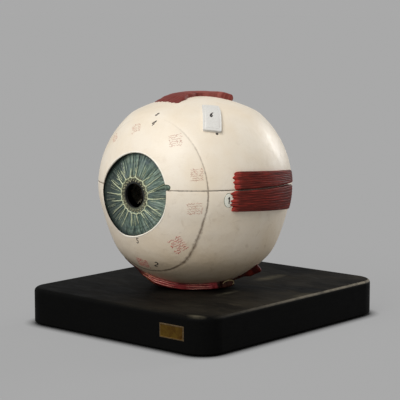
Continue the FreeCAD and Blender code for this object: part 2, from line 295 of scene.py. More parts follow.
def boardLacquer():
    # black satin lacquer over wood, dusty and rubbed on top, with painted sheen on the top and on the upper
    # edge
    # each smear: middle on the board, half its width and length, and how strong; the last one, on the front
    # corner, is a painted sheen patch, the others are dust
    look = {"dust": 0.26, "wear": 0.28, "edgeWearAndHighlight": 0.8, "gloss": 0.52,
            "smearsAndSheen": [((25, 46, 26), (8.0, 22.0), 0.75), ((40, -20, 26), (4.0, 15.0), 0.55),
                       ((92, 10, 26), (12.0, 16.0), 0.3), ((77, -97, 26), (9.0, 5.0), 0.5)]}
    material, shader = startMaterial("board_lacquer")
    where = places(shader)
    parts = axes(where)
    top = spread(parts["Z"], 24.5, 26.0)
    grain = noise(places(shader, (1, 0.06, 1)), 0.8, 4, 0.6)
    cloud = noise(places(shader, (0.6, 1, 1)), 34.0, 5, 0.6, 0.5)
    rubbed = noise(places(shader, (0.35, 1.0, 1)), 8.0, 6, 0.68, 0.8)
    colour = mix(spread(grain, 0.3, 0.8), rgb(7, 7, 7), rgb(13, 13, 12))
    # dust, with a painted sheen that makes the top lighter towards the camera's right
    sideways = plus(times(parts["X"], 0.75), times(parts["Y"], 0.66))
    sheenAndDust = times(top, spread(sideways, -95.0, 30.0, 0.05, 1.0))
    colour = mix(times(sheenAndDust, spread(cloud, 0.36, 0.72, 0.0, look["dust"])), colour, rgb(88, 80, 66))
    colour = mix(times(sheenAndDust, spread(rubbed, 0.58, 0.80, 0.0, look["wear"])), colour, rgb(104, 94, 76))
    for spot, (wide, long), share in look["smearsAndSheen"]:
        away = vectorMaths("SUBTRACT", where, spot)
        away = vectorMaths("MULTIPLY", away, (1 / wide, 1 / long, 0))
        close = times(top, spread(vectorMaths("LENGTH", away, result="Value"), 1.0, 0.25))
        colour = mix(times(close, spread(rubbed, 0.36, 0.60, 0.0, share)), colour, rgb(112, 106, 88))
    # lacquer rubbed thin on the rounded upper edge, with a painted highlight there that grows towards the
    # camera's right
    facing = axes(put(shader, "TexCoord").outputs["Normal"])["Z"]
    edge = times(spread(facing, 0.35, 0.6), spread(facing, 0.96, 0.84))
    edge = times(edge, spread(sideways, 5.0, 125.0, 0.0, look["edgeWearAndHighlight"]))
    edge = times(edge, spread(rubbed, 0.3, 0.55, 0.35, 1.0))
    colour = mix(edge, colour, rgb(148, 140, 124))
    rough = plus(spread(rubbed, 0.3, 0.75, 0.0, 0.2), look["gloss"])
    soft = bump(shader, grain, 0.03)
    dress(shader, colour, rough, noise(where, 14.0, 3), 0.12, 0.03, soft)
    return material


def agedMetal(name, clean, stained, rough=0.36, patch=4.0):
    material, shader = startMaterial(name)
    tarnish = noise(places(shader), patch, 6, 0.65, 0.5)
    colour = ramp(tarnish, [(0.34, clean), (0.66, stained)])
    wire(shader, {"Metallic": 1.0})
    scratches = noise(places(shader, (0.1, 1, 1)), 0.5)
    dress(shader, colour, spread(tarnish, 0.3, 0.75, rough - 0.06, rough + 0.25), scratches, 0.03)
    return material


def turnedWood():
    material, shader = startMaterial("seat_wood")
    values = {"Vector": places(shader, (1, 1, 0.25)), "Scale": 0.35, "Distortion": 3.0, "Detail": 3.0}
    rings = put(shader, "TexWave", values, wave_type="RINGS", rings_direction="Z").outputs["Fac"]
    dress(shader, ramp(rings, [(0.2, rgb(118, 84, 52)), (0.8, rgb(86, 58, 34))]), 0.55, rings, 0.1)
    return material


def irisPaint():
    # streaks that run out from the pupil, in blue green, grey and cream, under varnish
    look = {"streak": 0.046, "fineStreak": 0.018, "gloss": 0.30, "relief": 0.14}
    material, shader = startMaterial("iris_paint")
    coords = put(shader, "TexCoord").outputs["Object"]
    toMiddle = {"Vector": coords, "Location": tuple(-ballMiddle * mm)}
    centred = put(coords, "Mapping", toMiddle).outputs["Vector"]
    flat = vectorMaths("MULTIPLY", centred, (1000, 0, 1000))
    distance = vectorMaths("LENGTH", flat, result="Value")
    outward = axes(vectorMaths("NORMALIZE", flat))
    streaks = {"X": outward["X"], "Y": times(distance, 0.0030), "Z": outward["Z"]}
    streakPlace = put(flat, "CombineXYZ", streaks).outputs["Vector"]
    wide = noise(streakPlace, look["streak"], 3, 0.55, 0.3)
    fine = noise(streakPlace, look["fineStreak"], 4, 0.65, 0.2)
    body = ramp(wide, [(0.41, rgb(20, 36, 31)), (0.49, rgb(70, 95, 86)), (0.55, rgb(110, 133, 121)),
                       (0.64, rgb(150, 166, 148))])
    pale = ramp(fine, [(0.43, rgb(22, 38, 34)), (0.52, rgb(88, 110, 100)), (0.61, rgb(182, 192, 166))])
    colour = mix(0.34, body, pale)
    colour = mix(spread(noise(flat, 9.0, 2), 0.50, 0.68, 0.0, 0.45), colour, rgb(84, 98, 108))
    colour = mix(spread(noise(flat, 5.0, 2), 0.60, 0.74, 0.0, 0.30), colour, rgb(70, 92, 44))
    # painted shade towards the temporal side, where the window's rim shades the iris, and painted light
    # towards the nasal side
    sideways = axes(flat)["X"]
    colour = mix(spread(sideways, -3.0, -24.0, 0.0, 0.84), colour, rgb(30, 42, 38))
    colour = mix(spread(sideways, 2.0, 24.0, 0.0, 0.18), colour, rgb(144, 160, 146))
    # the zone inside the ring, the shaded rim and the pupil's edge
    inner = mix(spread(fine, 0.35, 0.65), rgb(58, 60, 44), rgb(104, 102, 76))
    colour = mix(spread(distance, 13.9, 12.6, 0.0, 0.8), colour, inner)
    colour = mix(spread(distance, 27.5, 31.5, 0.0, 0.5), colour, rgb(26, 36, 33))
    colour = mix(spread(distance, 10.6, 9.3, 0.0, 0.95), colour, rgb(12, 13, 12))
    rough = spread(fine, 0.2, 0.8, look["gloss"], look["gloss"] + 0.2)
    dress(shader, colour, rough, fine, look["relief"])
    return material


def irisBackPaint():
    material, shader = startMaterial("iris_back_paint")
    where = places(shader)
    colour = ramp(noise(where, 2.0), [(0.3, rgb(6, 6, 6)), (0.7, rgb(14, 12, 11))])
    dress(shader, colour, 0.75, noise(where, 0.7), 0.06)
    return material


def liningPaint(name, ground, cloud, vessel, vesselSize, vesselShare):
    # thin lining with a net of painted vessels
    material, shader = startMaterial(name)
    where = places(shader)
    bent = mix(0.16, where, noise(where, 10.0, 4, 0.5, result="Color"), "ADD")
    net = put(bent, "TexVoronoi", {"Vector": bent, "Scale": 1 / vesselSize}, feature="DISTANCE_TO_EDGE")
    cells = net.outputs["Distance"]
    colour = mix(spread(noise(where, 9.0), 0.35, 0.7), ground, cloud)
    width = spread(noise(where, 16.0, 2), 0.4, 0.6, 0.012, 0.075)
    colour = mix(times(maths("LESS_THAN", cells, width), vesselShare), colour, vessel)
    lines = bump(shader, spread(cells, 0.10, 0.0), 0.25)
    dress(shader, colour, 0.5, noise(where, 0.8), 0.05, under=lines)
    return material


def clearResin(name, tint, frost, shine):
    material, shader = startMaterial(name)
    where = places(shader)
    wire(shader, {"Transmission Weight": 1.0, "IOR": 1.38})
    rough = spread(noise(where, 18.0, 3), 0.3, 0.7, frost, frost + 0.05)
    dress(shader, tint, rough, noise(where, 22.0, 2), 0.10, shine)
    return material


def nervePaint():
    material, shader = startMaterial("nerve_paint")
    strands = noise(places(shader, (1, 0.12, 1)), 1.0)
    dress(shader, ramp(strands, [(0.3, rgb(196, 170, 98)), (0.7, rgb(228, 208, 140))]), 0.5, strands, 0.2)
    return material


finish = {
    "sclera": scleraPaint("sclera_paint", rgb(245, 234, 216), rgb(240, 225, 201)),
    "windowWallShade": wallShadePaint(),
    "muscle": musclePaint("muscle_paint", rgb(66, 26, 22), rgb(110, 45, 37), rgb(184, 59, 50), 4.0),
    "superior": musclePaint("superior_muscle_paint", rgb(102, 36, 31), rgb(157, 90, 82), rgb(176, 112, 102),
                            0.2, 1.4, 0.6),
    "inferior": inferiorPaint(),
    "oblique": musclePaint("oblique_muscle_paint", rgb(36, 20, 16), rgb(74, 40, 32), rgb(124, 78, 56), 0.2),
    "cutEnd": linePaint("cut_end_paint", rgb(214, 200, 150), rgb(150, 128, 84), 0.45),
    "strand": linePaint("muscle_strand_paint", rgb(236, 172, 150), rgb(190, 92, 86), 0.45),
    # pale paint along the window's lip: a painted highlight
    "windowLipHighlight": linePaint("window_rim_paint", rgb(254, 249, 237), rgb(242, 233, 214), 0.42, 0.01),
    "spotEdge": linePaint("number_spot_edge_paint", rgb(150, 152, 124), rgb(96, 98, 76), 0.5),
    "tendon": linePaint("tendon_paint", rgb(230, 228, 222), rgb(218, 215, 208), 0.42, 0.008),
    "spot": linePaint("number_spot_paint", rgb(244, 244, 232), rgb(230, 228, 210), 0.45, 0.01),
    "vessel": linePaint("vessel_line_paint", rgb(206, 158, 136), rgb(180, 122, 100), 0.5),
    "deepVessel": linePaint("deep_vessel_line_paint", rgb(206, 84, 74), rgb(168, 48, 44), 0.5),
    "ink": linePaint("ink", rgb(44, 34, 26), rgb(22, 18, 14), 0.6),
    "thread": linePaint("iris_thread_paint", rgb(222, 223, 187), rgb(168, 179, 143), 0.35),
    "pebble": linePaint("iris_pebble_paint", rgb(176, 172, 138), rgb(112, 108, 82), 0.4),
    "lug": linePaint("lug_paint", rgb(124, 140, 120), rgb(70, 88, 76), 0.4),
    "iris": irisPaint(),
    "irisBack": irisBackPaint(),
    "board": boardLacquer(),
    "plate": agedMetal("plate_brass", rgb(118, 93, 36), rgb(80, 53, 22), 0.40, 6.0),
    "plateEdge": agedMetal("plate_edge_brass", rgb(132, 112, 84), rgb(86, 70, 48), 0.38, 2.0),
    "pin": agedMetal("pin_brass", rgb(206, 170, 96), rgb(150, 116, 58), 0.3, 3.0),
    "steel": agedMetal("screw_steel", rgb(186, 186, 186), rgb(128, 128, 130), 0.32, 3.0),
    "wood": turnedWood(),
    "choroid": liningPaint("choroid_paint", rgb(112, 52, 38), rgb(88, 38, 28), rgb(60, 22, 18), 7.0, 0.8),
    "retina": liningPaint("retina_paint", rgb(224, 148, 86), rgb(206, 118, 64), rgb(192, 96, 54), 4.5, 0.35),
    "opticDisc": linePaint("optic_disc_paint", rgb(246, 222, 150), rgb(232, 190, 112), 0.5, 0.02),
    "retinaVessel": linePaint("retina_vessel_paint", rgb(176, 34, 28), rgb(128, 20, 24), 0.42),
    "ciliary": liningPaint("ciliary_paint", rgb(108, 66, 48), rgb(80, 46, 34), rgb(44, 26, 20), 3.0, 0.5),
    "vitreous": clearResin("vitreous_resin", (0.93, 0.96, 0.95, 1), 0.03, 0.2),
    # the lens resin is tinted dark: painted shade so that the pupil looks black
    "lens": clearResin("lens_resin_shade_tint", (0.30, 0.28, 0.22, 1), 0.05, 0.05),
    "nerve": nervePaint(),
}
print("finishes made:", len(finish))


# small tools for shapes

def smoothStep(value):
    value = np.clip(value, 0, 1)
    return value * value * (3 - 2 * value)


def ripple(value, seed, slowest=1.0, fastest=4.0, count=5):
    # smooth uneven wave, about -1 to 1
    dice = np.random.default_rng(seed)
    total = np.zeros_like(value, dtype=float)
    for rate, phase in zip(dice.uniform(slowest, fastest, count), dice.uniform(0, 6.28, count)):
        total += np.sin(rate * value + phase)
    return total / math.sqrt(count)


def unit(vectors):
    return vectors / np.linalg.norm(vectors, axis=-1, keepdims=True)


def wayAt(front, around):
    # direction by the angle from the line of sight and the angle round it from the nasal side
    front, around = np.broadcast_arrays(front, around)
    return np.stack([np.sin(front) * np.cos(around), -np.cos(front), np.sin(front) * np.sin(around)], -1)


def unitAt(front, around):
    # the same in degrees
    return wayAt(np.radians(front), np.radians(around))


# the ball, fuller low down and slightly waisted where that begins, both placed by degrees of height
ball = {"radius": 72.0, "crownRadius": 98.0, "crownHeight": 66.7, "blend": 0.8, "unevenness": 0.10,
        "fullness": 2.7, "fullFrom": -24, "fullTo": -80.3, "waist": 1.1, "waistAt": -16, "waistSpan": 9}


def reach(ways):
    # distance from the middle of the ball to its painted surface
    height = np.clip(ways[..., 2], -1, 1)
    drop = ball["crownRadius"] - ball["crownHeight"]
    crown = -height * drop + np.sqrt((height * drop) ** 2 + ball["crownRadius"] ** 2 - drop ** 2)
    gap = np.clip(0.5 + 0.5 * (crown - ball["radius"]) / ball["blend"], 0, 1)
    base = crown + (ball["radius"] - crown) * gap - ball["blend"] * gap * (1 - gap)
    tilt = np.degrees(np.arcsin(height))
    full = smoothStep((ball["fullFrom"] - tilt) / 20) * smoothStep((tilt - ball["fullTo"]) / 16)
    waist = np.exp(-((tilt - ball["waistAt"]) / ball["waistSpan"]) ** 2)
    hand = np.sin(5.3 * ways[..., 0] + 1.1) * np.sin(4.1 * ways[..., 2] + 3.7 * ways[..., 1])
    return base + ball["fullness"] * full - ball["waist"] * waist + ball["unevenness"] * hand


def onSurface(ways, lift=0.0):
    return ways * (reach(ways) + lift)[..., None]


def toFrame(points):
    return (np.asarray(points, float) + ballMiddle) * mm


def makePiece(name, points, faces, materials, body, stands=(), uv=None, slots=None, sharp=40, bevel=0.0,
              cutters=()):
    # one finished piece, from points in millimetres about the middle of the ball
    mesh = bpy.data.meshes.new(name)
    mesh.from_pydata(toFrame(points).tolist(), [], [tuple(face) for face in faces])
    for material in materials if isinstance(materials, list) else [materials]:
        mesh.materials.append(material)
    if slots is not None:
        mesh.polygons.foreach_set("material_index", np.asarray(slots, np.int32))
    if uv is not None:
        corners = np.zeros(len(mesh.loops), np.int32)
        mesh.loops.foreach_get("vertex_index", corners)
        mesh.uv_layers.new(name="fibres").data.foreach_set("uv", np.asarray(uv, np.float32)[corners].ravel())
    work = bmesh.new()
    work.from_mesh(mesh)
    bmesh.ops.remove_doubles(work, verts=work.verts, dist=1e-6)
    bmesh.ops.dissolve_degenerate(work, edges=work.edges, dist=1e-7)
    bmesh.ops.recalc_face_normals(work, faces=work.faces)
    for face in work.faces:
        face.smooth = True
    work.to_mesh(mesh)
    work.free()
    piece = place(name, mesh)
    if bevel:
        bake(piece, "BEVEL", width=bevel * mm, segments=2, limit_method="ANGLE", angle_limit=math.radians(50),
             use_clamp_overlap=False)
    for cutter in cutters:
        bake(piece, "BOOLEAN", object=cutter, operation="DIFFERENCE", solver="MANIFOLD")
        bpy.data.objects.remove(cutter)
    piece.data.set_sharp_from_angle(angle=math.radians(sharp))
    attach(piece, body)
    if stands:
        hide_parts(*stands)
    return piece


def bake(piece, kind, **settings):
    # the modifier's result becomes the mesh
    modifier = piece.modifiers.new("change", kind)
    for key, value in settings.items():
        setattr(modifier, key, value)
    ready = piece.evaluated_get(bpy.context.evaluated_depsgraph_get())
    mesh = bpy.data.meshes.new_from_object(ready)
    old = piece.data
    piece.modifiers.clear()
    piece.data = mesh
    bpy.data.meshes.remove(old)
    mesh.name = piece.name


def cutterFrom(name, work):
    mesh = bpy.data.meshes.new(name)
    work.to_mesh(mesh)
    work.free()
    return place(name, mesh)


def rodCutter(name, rods, sides=40):
    # round bores as one cutting tool; each rod is start, axis, radius, length
    work = bmesh.new()
    turns = [fullTurn * k / sides for k in range(sides)]
    for start, axis, radius, length in rods:
        axis = Vector(axis).normalized()
        across = axis.orthogonal().normalized()
        other = axis.cross(across)
        ends = []
        for shift in (0, length):
            middle = Vector(toFrame(start)) + axis * shift * mm
            spokes = [radius * mm * (across * math.cos(turn) + other * math.sin(turn)) for turn in turns]
            ends.append([work.verts.new(middle + spoke) for spoke in spokes])
        near, far = ends
        work.faces.new(near)
        work.faces.new(list(reversed(far)))
        for k in range(sides):
            n = (k + 1) % sides
            work.faces.new((near[k], near[n], far[n], far[k]))
    bmesh.ops.recalc_face_normals(work, faces=work.faces)
    return cutterFrom(name, work)


def boxCutter(name, low, high):
    work = bmesh.new()
    for corner in bmesh.ops.create_cube(work, size=1.0)["verts"]:
        corner.co = Vector(toFrame([low[k] if corner.co[k] < 0 else high[k] for k in range(3)]))
    return cutterFrom(name, work)


def gridFaces(rows, columns, start=0, wrap=False):
    faces = []
    for r in range(rows - 1):
        for c in range(columns if wrap else columns - 1):
            a, b = start + r * columns + c, start + r * columns + (c + 1) % columns
            faces.append((a, b, b + columns, a + columns))
    return faces


# half of a thin line's cross-section, as shares of its width and height
lineShape = [(-0.5, 0.0), (-0.36, 0.62), (-0.14, 0.96), (0.14, 0.96), (0.36, 0.62), (0.5, 0.0)]


def ribbons(name, paths, material, body, sunk=0.12):
    # half-round lines that lie on a surface; a path is points, outward ways, width and height
    points, faces = [], []
    count = len(lineShape)
    for line, out, width, height in paths:
        size = len(line)
        width, height = np.broadcast_to(width, size), np.broadcast_to(height, size)
        side = np.cross(np.gradient(line, axis=0), out)
        side /= np.linalg.norm(side, axis=1)[:, None] + 1e-9
        first = len(points)
        for k in range(size):
            for across, up in lineShape:
                lift = up * height[k] - (sunk if up == 0.0 else 0)
                points.append(line[k] + side[k] * across * width[k] + out[k] * lift)
        faces += gridFaces(size, count, first, True)
        faces.append(tuple(range(first, first + count)))
        faces.append(tuple(range(first + (size - 1) * count, first + size * count)))
    makePiece(name, points, faces, material, body, sharp=75)


def addPatch(name, ringAt, lift, rimShare, material, body, rings=6):
    # thin round patch of paint; ringAt gives the points of a ring from its share of the size and its lift
    lifts = [lift] * (rings - 1) + [lift * rimShare] + [-0.3] * rings
    points = [ringAt((k % rings + 1) / rings, lifts[k]) for k in range(2 * rings)]
    sides = len(points[0])
    under = rings * sides
    faces = gridFaces(rings, sides, 0, True) + gridFaces(rings, sides, under, True)
    faces += [tuple(range(sides)), tuple(range(under, under + sides))]
    for k in range(sides):
        a, b = under - sides + k, under - sides + (k + 1) % sides
        faces.append((a, b, b + under, a + under))
    makePiece(name, np.concatenate(points), faces, material, body)


# ball: four painted shells, split by the round seam and the level parting plane

shell = {"wall": 6.0, "seam": -47.6, "seamJoint": 0.035, "parting": 4.8, "capJoint": 0.15, "shellJoint": 0.25,
         "window": 30.85, "windowWaves": [(-1.96, -1.12), (1.05, 2.17), (0, -0.69)], "windowLimit": 33.3,
         "lip": 0.8, "lipBack": -63.6, "rebate": 33.59, "rebateFront": -61.27, "edge": 0.08,
         "columns": 112, "capRows": 26, "capInnerRows": 14, "rearRows": 44}

# bores for the pins: places round the joint in degrees, and how far they start before it
partingBores = {"places": (-25, 110, 205), "radius": 1.58, "length": 10.3, "start": 5.1}
capBores = {"places": (45, 135), "radius": 1.27, "length": 5.2, "start": 2.6}
nerveBores = {"lower": 11.0, "upper": 11.4, "length": 90}
nerveWay = unitAt(168, 0)  # 12 degrees to the nasal side of straight back
lugNotch = {"low": (28.0, -75.0, 0.0), "high": (31.0, -58.27, 8.95),
            "end": (30.9, -75.0, 6.75), "radius": 2.15}


def windowRadius(around):
    # distance of the hand-cut window's edge from the line of sight, a circle with waves added
    size = shell["window"]
    for turns, (sideways, upright) in enumerate(shell["windowWaves"], 1):
        size = size + sideways * np.cos(turns * around) + upright * np.sin(turns * around)
    over = (shell["windowLimit"] - size) / 0.6
    return shell["windowLimit"] - 0.6 * np.logaddexp(0, over)


def ballRing(offset, frontAt):
    # ring of the surface; frontAt gives the angle from the line of sight for each place round it
    return lambda around: onSurface(wayAt(frontAt(around), around), offset)


def flatRing(radiusAt, y):
    def ring(around):
        radius = radiusAt(around)
        return np.stack([radius * np.cos(around), y + 0 * around, radius * np.sin(around)], -1)
    return ring


def angleWhere(offset, plane=None, bore=None):
    # angle from the line of sight where the surface meets an upright plane or a bore
    def solve(around):
        front = np.full(len(around), 0.7)
        for _ in range(14):
            size = reach(wayAt(front, around)) + offset
            front = np.arccos(-plane / size) if plane is not None else np.arcsin(bore(around) / size)
        return front
    return solve


def between(first, last, share):
    return lambda around: first(around) * (1 - share) + last(around) * share


def levelAngle(ring, level):
    # place round the ring where it rises through the parting plane
    low, high = 0.0, 0.5 * math.pi
    if ring(np.array([high]))[0, 2] <= level + 0.002:
        return high
    for _ in range(40):
        middle = 0.5 * (low + high)
        if ring(np.array([middle]))[0, 2] < level:
            low = middle
        else:
            high = middle
    return low


def halfRows(rings, upper, joint):
    level = shell["parting"] + (joint if upper else -joint)
    rows = []
    for ring in rings:
        edge = levelAngle(ring, level)
        ends = (edge, math.pi - edge) if upper else (math.pi - edge, fullTurn + edge)
        rows.append(ring(np.linspace(*ends, shell["columns"] + 1)))
    return rows


def frontCap(upper):
    wall, lip = shell["wall"], shell["lip"]
    seam = shell["seam"] - shell["seamJoint"]
    outerSeam, innerSeam = angleWhere(0, plane=seam), angleWhere(-wall, plane=seam)
    groove = lambda around: shell["rebate"]
    mouth = angleWhere(0, bore=lambda around: windowRadius(around) + lip)
    rebate = angleWhere(-wall, bore=groove)
    rings = [ballRing(0, between(outerSeam, mouth, share)) for share in np.linspace(0, 1, shell["capRows"])]
    for turn in np.radians([30, 60, 90]):
        out, drop = lip * (1 - math.sin(turn)), lip * (1 - math.cos(turn))
        edge = lambda around, out=out: windowRadius(around) + out
        rings.append(ballRing(-drop, angleWhere(-drop, bore=edge)))
    wallStart = len(rings)
    rings += [flatRing(windowRadius, y) for y in np.linspace(shell["lipBack"], shell["rebateFront"], 4)]
    rings.append(flatRing(groove, shell["rebateFront"]))
    wallEnd = len(rings)
    shares = np.linspace(0, 1, shell["capInnerRows"])
    rings += [ballRing(-wall, between(rebate, innerSeam, share)) for share in shares]
    rows = halfRows(rings, upper, shell["capJoint"])
    wide = shell["columns"] + 1
    last = (len(rows) - 1) * wide
    faces = gridFaces(len(rows), wide)
    slots = [int(wallStart - 1 <= r < wallEnd) for r in range(len(rows) - 1) for _ in range(wide - 1)]
    faces += [(last + c, last + c + 1, c + 1, c) for c in range(wide - 1)]
    faces += [tuple(range(c, len(rows) * wide, wide)) for c in (0, wide - 1)]
    return np.concatenate(rows), faces, slots + [0] * (wide + 1)


def rearShell(upper):
    wide = shell["columns"] + 1
    level = shell["parting"] + (shell["shellJoint"] if upper else -shell["shellJoint"])
    shares = np.linspace(0, 1, shell["rearRows"])
    points, faces, edges = [], [], []
    start = 0
    for offset in (0, -shell["wall"]):
        first = angleWhere(offset, plane=shell["seam"])
        back = math.pi - math.asin(level / (ball["radius"] + offset))
        for _ in range(6):
            back = math.pi - math.asin(level / (reach(wayAt(back, 0.5 * math.pi)) + offset))
        rings = [ballRing(offset, between(first, lambda around: back, share)) for share in shares]
        if not upper:
            for share in (0.25, 0.5, 0.75, 1.0):
                angle = back + (math.pi - back) * share
                rings.append(ballRing(offset, lambda around, angle=angle: angle))
        rows = halfRows(rings, upper, shell["shellJoint"])
        points.append(np.concatenate(rows))
        faces += gridFaces(len(rows), wide, start)
        edges.append([start + r * wide for r in range(len(shares))])
        start += len(rows) * wide
    outer, inner = edges
    for c in range(wide - 1):
        faces.append((outer[0] + c, outer[0] + c + 1, inner[0] + c + 1, inner[0] + c))
    for c in (0, wide - 1):
        for r in range(len(outer) - 1):
            faces.append((outer[r] + c, outer[r + 1] + c, inner[r + 1] + c, inner[r] + c))
    return np.concatenate(points), faces, None


def pinRods(bores, joint, axis, side=1):
    # bores across the plane of a joint, in the middle of the wall
    flat = math.sqrt((ball["radius"] - 0.5 * shell["wall"]) ** 2 - joint ** 2)
    rods = []
    for turn in np.radians(bores["places"]):
        start = [flat * math.cos(turn), side * flat * math.sin(turn)]
        start.insert(axis, joint - bores["start"])
        rods.append((start, np.eye(3)[axis], bores["radius"], bores["length"]))
    return rods


def addShells():
    caps = {"lower": pinRods(capBores, shell["seam"], 1, -1), "upper": pinRods(capBores, shell["seam"], 1)}
    cutters, shapes = {}, {}
    for half in caps:
        upper = half == "upper"
        nerve = ((0, 0, 0), nerveWay, nerveBores[half], nerveBores["length"])
        pins = pinRods(partingBores, shell["parting"], 2) + caps[half]
        cutters[half + "_shell"] = [rodCutter("nerve_bore", [nerve], 64), rodCutter("pin_bores", pins)]
        cutters[half + "_cap"] = [rodCutter("cap_bores", caps[half])]
        shapes[half + "_shell"], shapes[half + "_cap"] = rearShell(upper), frontCap(upper)
    low, high = lugNotch["low"], lugNotch["high"]
    notchEnd = (lugNotch["end"], (0, 1, 0), lugNotch["radius"], high[1] - low[1])
    cutters["upper_cap"] += [boxCutter("notch", low, high), rodCutter("notch_end", [notchEnd])]
    both = [finish["sclera"], finish["windowWallShade"]]
    jobs = [("lower_shell", "sclera_lower", baseHalf, both[:1]),
            ("upper_shell", "sclera_upper", upperHalf, both[:1]),
            ("lower_cap", "front_cap_lower", "lower_cap", both),
            ("upper_cap", "front_cap_upper", "upper_cap", both)]
    for name, stand, body, paints in jobs:
        points, faces, slots = shapes[name]
        makePiece(name, points, faces, paints, body, [stand], slots=slots,
                  bevel=shell["edge"], cutters=cutters[name])


addShells()
print("shells made")


# iris: a shallow dome with raised fibres, a wavy ring and painted threads

iris = {"foot": 29.62, "rim": 33.0, "rimFront": -61.17, "thickness": 2.5, "domeMiddle": 59.45,
        "domeRadius": 125.3, "domeWall": 2.3, "pupil": 8.8, "drop": 1.2, "gap": 0.2, "ring": 13.6,
        "scallop": 1.3, "fibreHeight": 0.22, "hairs": 40, "pebbles": 52, "rows": 72, "columns": 440}

# each thread: place round the pupil in degrees at its start and end, and how far out it starts and ends
threads = [(108, 102, 12.9, 19.5), (86, 84, 12.9, 20.5), (53, 44, 13.2, 19.8), (33, 32, 13.6, 26.0),
           (12, 14, 13.6, 23.5), (-6, -2, 13.4, 27.5), (-25, -29, 13.3, 27.6), (-45, -42, 13.2, 20.5),
           (-63, -60, 13.4, 18.5), (-83, -82, 13.4, 20.5), (-103, -101, 13.6, 23.0),
           (-118, -121, 13.9, 26.5), (-133, -131, 14.1, 24.6), (-148, -145, 14.1, 26.4),
           (-161, -164, 14.1, 23.4), (-178, -177, 13.9, 26.5), (166, 162, 13.8, 25.0),
           (149, 145, 13.2, 22.5), (128, 131, 12.9, 21.0)]

# rounded tab on the parting plane
lug = {"low": (27.6, -64.8, 4.95), "high": (32.7, -58.9, 8.6), "round": 1.8, "steps": 13}


def domeY(distance):
    return iris["domeMiddle"] - np.sqrt(iris["domeRadius"] ** 2 - distance ** 2)


def ringAt(turn):
    # wavy ring that reaches out to each thread and sags in between
    starts = np.sort(np.radians([thread[0] for thread in threads]) % fullTurn)
    starts = np.concatenate([starts[-1:] - fullTurn, starts, starts[:1] + fullTurn])
    spot = np.atleast_1d(turn) % fullTurn
    step = np.clip(np.searchsorted(starts, spot, side="right") - 1, 0, len(starts) - 2)
    share = (spot - starts[step]) / (starts[step + 1] - starts[step])
    sag = np.sin(math.pi * share) ** 0.75 * (0.75 + 0.25 * np.sin(7.0 * step))
    return iris["ring"] - iris["scallop"] * sag + 0.10 * np.sin(31 * spot)


def irisRelief(distance, turn):
    # height of the painted fibres over the plain dome
    lines = ripple(turn, 5, 38, 74, 5) * 0.6 + ripple(turn + 0.004 * distance, 6, 90, 150, 4) * 0.4
    fade = smoothStep((distance - 13.5) / 3) * smoothStep((29.5 - distance) / 2.5)
    crypts = ripple(turn, 8, 28, 44, 3) * np.exp(-((distance - 11.6) / 1.1) ** 2)
    folds = np.sin(distance * 1.9 + 0.8 * ripple(turn, 9, 2, 5))
    furrows = 0.5 * folds * smoothStep((distance - 20) / 4) * fade
    ring = np.exp(-((distance - ringAt(turn)) / 0.8) ** 2)
    return iris["fibreHeight"] * (lines * fade + 0.8 * crypts + furrows) + 0.3 * ring


def irisPlace(distance, turn, y):
    # the dome follows the hand-cut window at its foot, and the pupil sits a little low
    distance = distance + 0 * turn
    outer = smoothStep((distance - 14) / 15.62)
    wide = 1 + ((windowRadius(turn) - iris["gap"]) / iris["foot"] - 1) * outer
    low = iris["drop"] * (1 - outer)
    return np.stack([distance * wide * np.cos(turn), y + 0 * turn, distance * wide * np.sin(turn) - low], -1)


def irisLine(turn, distance, lift=0.12):
    # points on the dome and their outward ways
    line = irisPlace(distance, turn, domeY(distance) - lift)
    return line, unit(line - np.array([0, iris["domeMiddle"], 0]))


def addIris():
    count = iris["columns"]
    turn = np.linspace(0, fullTurn, count, endpoint=False)
    signed = np.where(turn > math.pi, turn - fullTurn, turn)
    soft = smoothStep(np.minimum(turn, fullTurn - turn) / 0.05)
    rows = []
    for distance in np.linspace(iris["pupil"], iris["foot"], iris["rows"]):
        relief = irisRelief(distance, signed) * soft * smoothStep((distance - iris["pupil"]) / 0.8)
        rows.append(irisPlace(distance, turn, domeY(distance) - relief))
    foot, rim, pupil, front = iris["foot"], iris["rim"], iris["pupil"], iris["rimFront"]
    back = front + iris["thickness"]
    rows += [irisPlace(foot, turn, front), flatRing(lambda around: rim, front)(turn)]
    rows += [flatRing(lambda around: rim, back)(turn), irisPlace(foot - 2.0, turn, back)]
    rows += [irisPlace(distance, turn, domeY(distance) + iris["domeWall"]) for distance in (20.0, pupil)]
    last = (len(rows) - 1) * count
    faces = gridFaces(len(rows), count, 0, True)
    faces += [(last + c, last + (c + 1) % count, (c + 1) % count, c) for c in range(count)]
    slots = [int(r > iris["rows"]) for r in range(len(rows)) for _ in range(count)]
    makePiece("iris_plate", np.concatenate(rows), faces, [finish["iris"], finish["irisBack"]], "iris",
              ["iris_disc"], slots=slots, sharp=50)


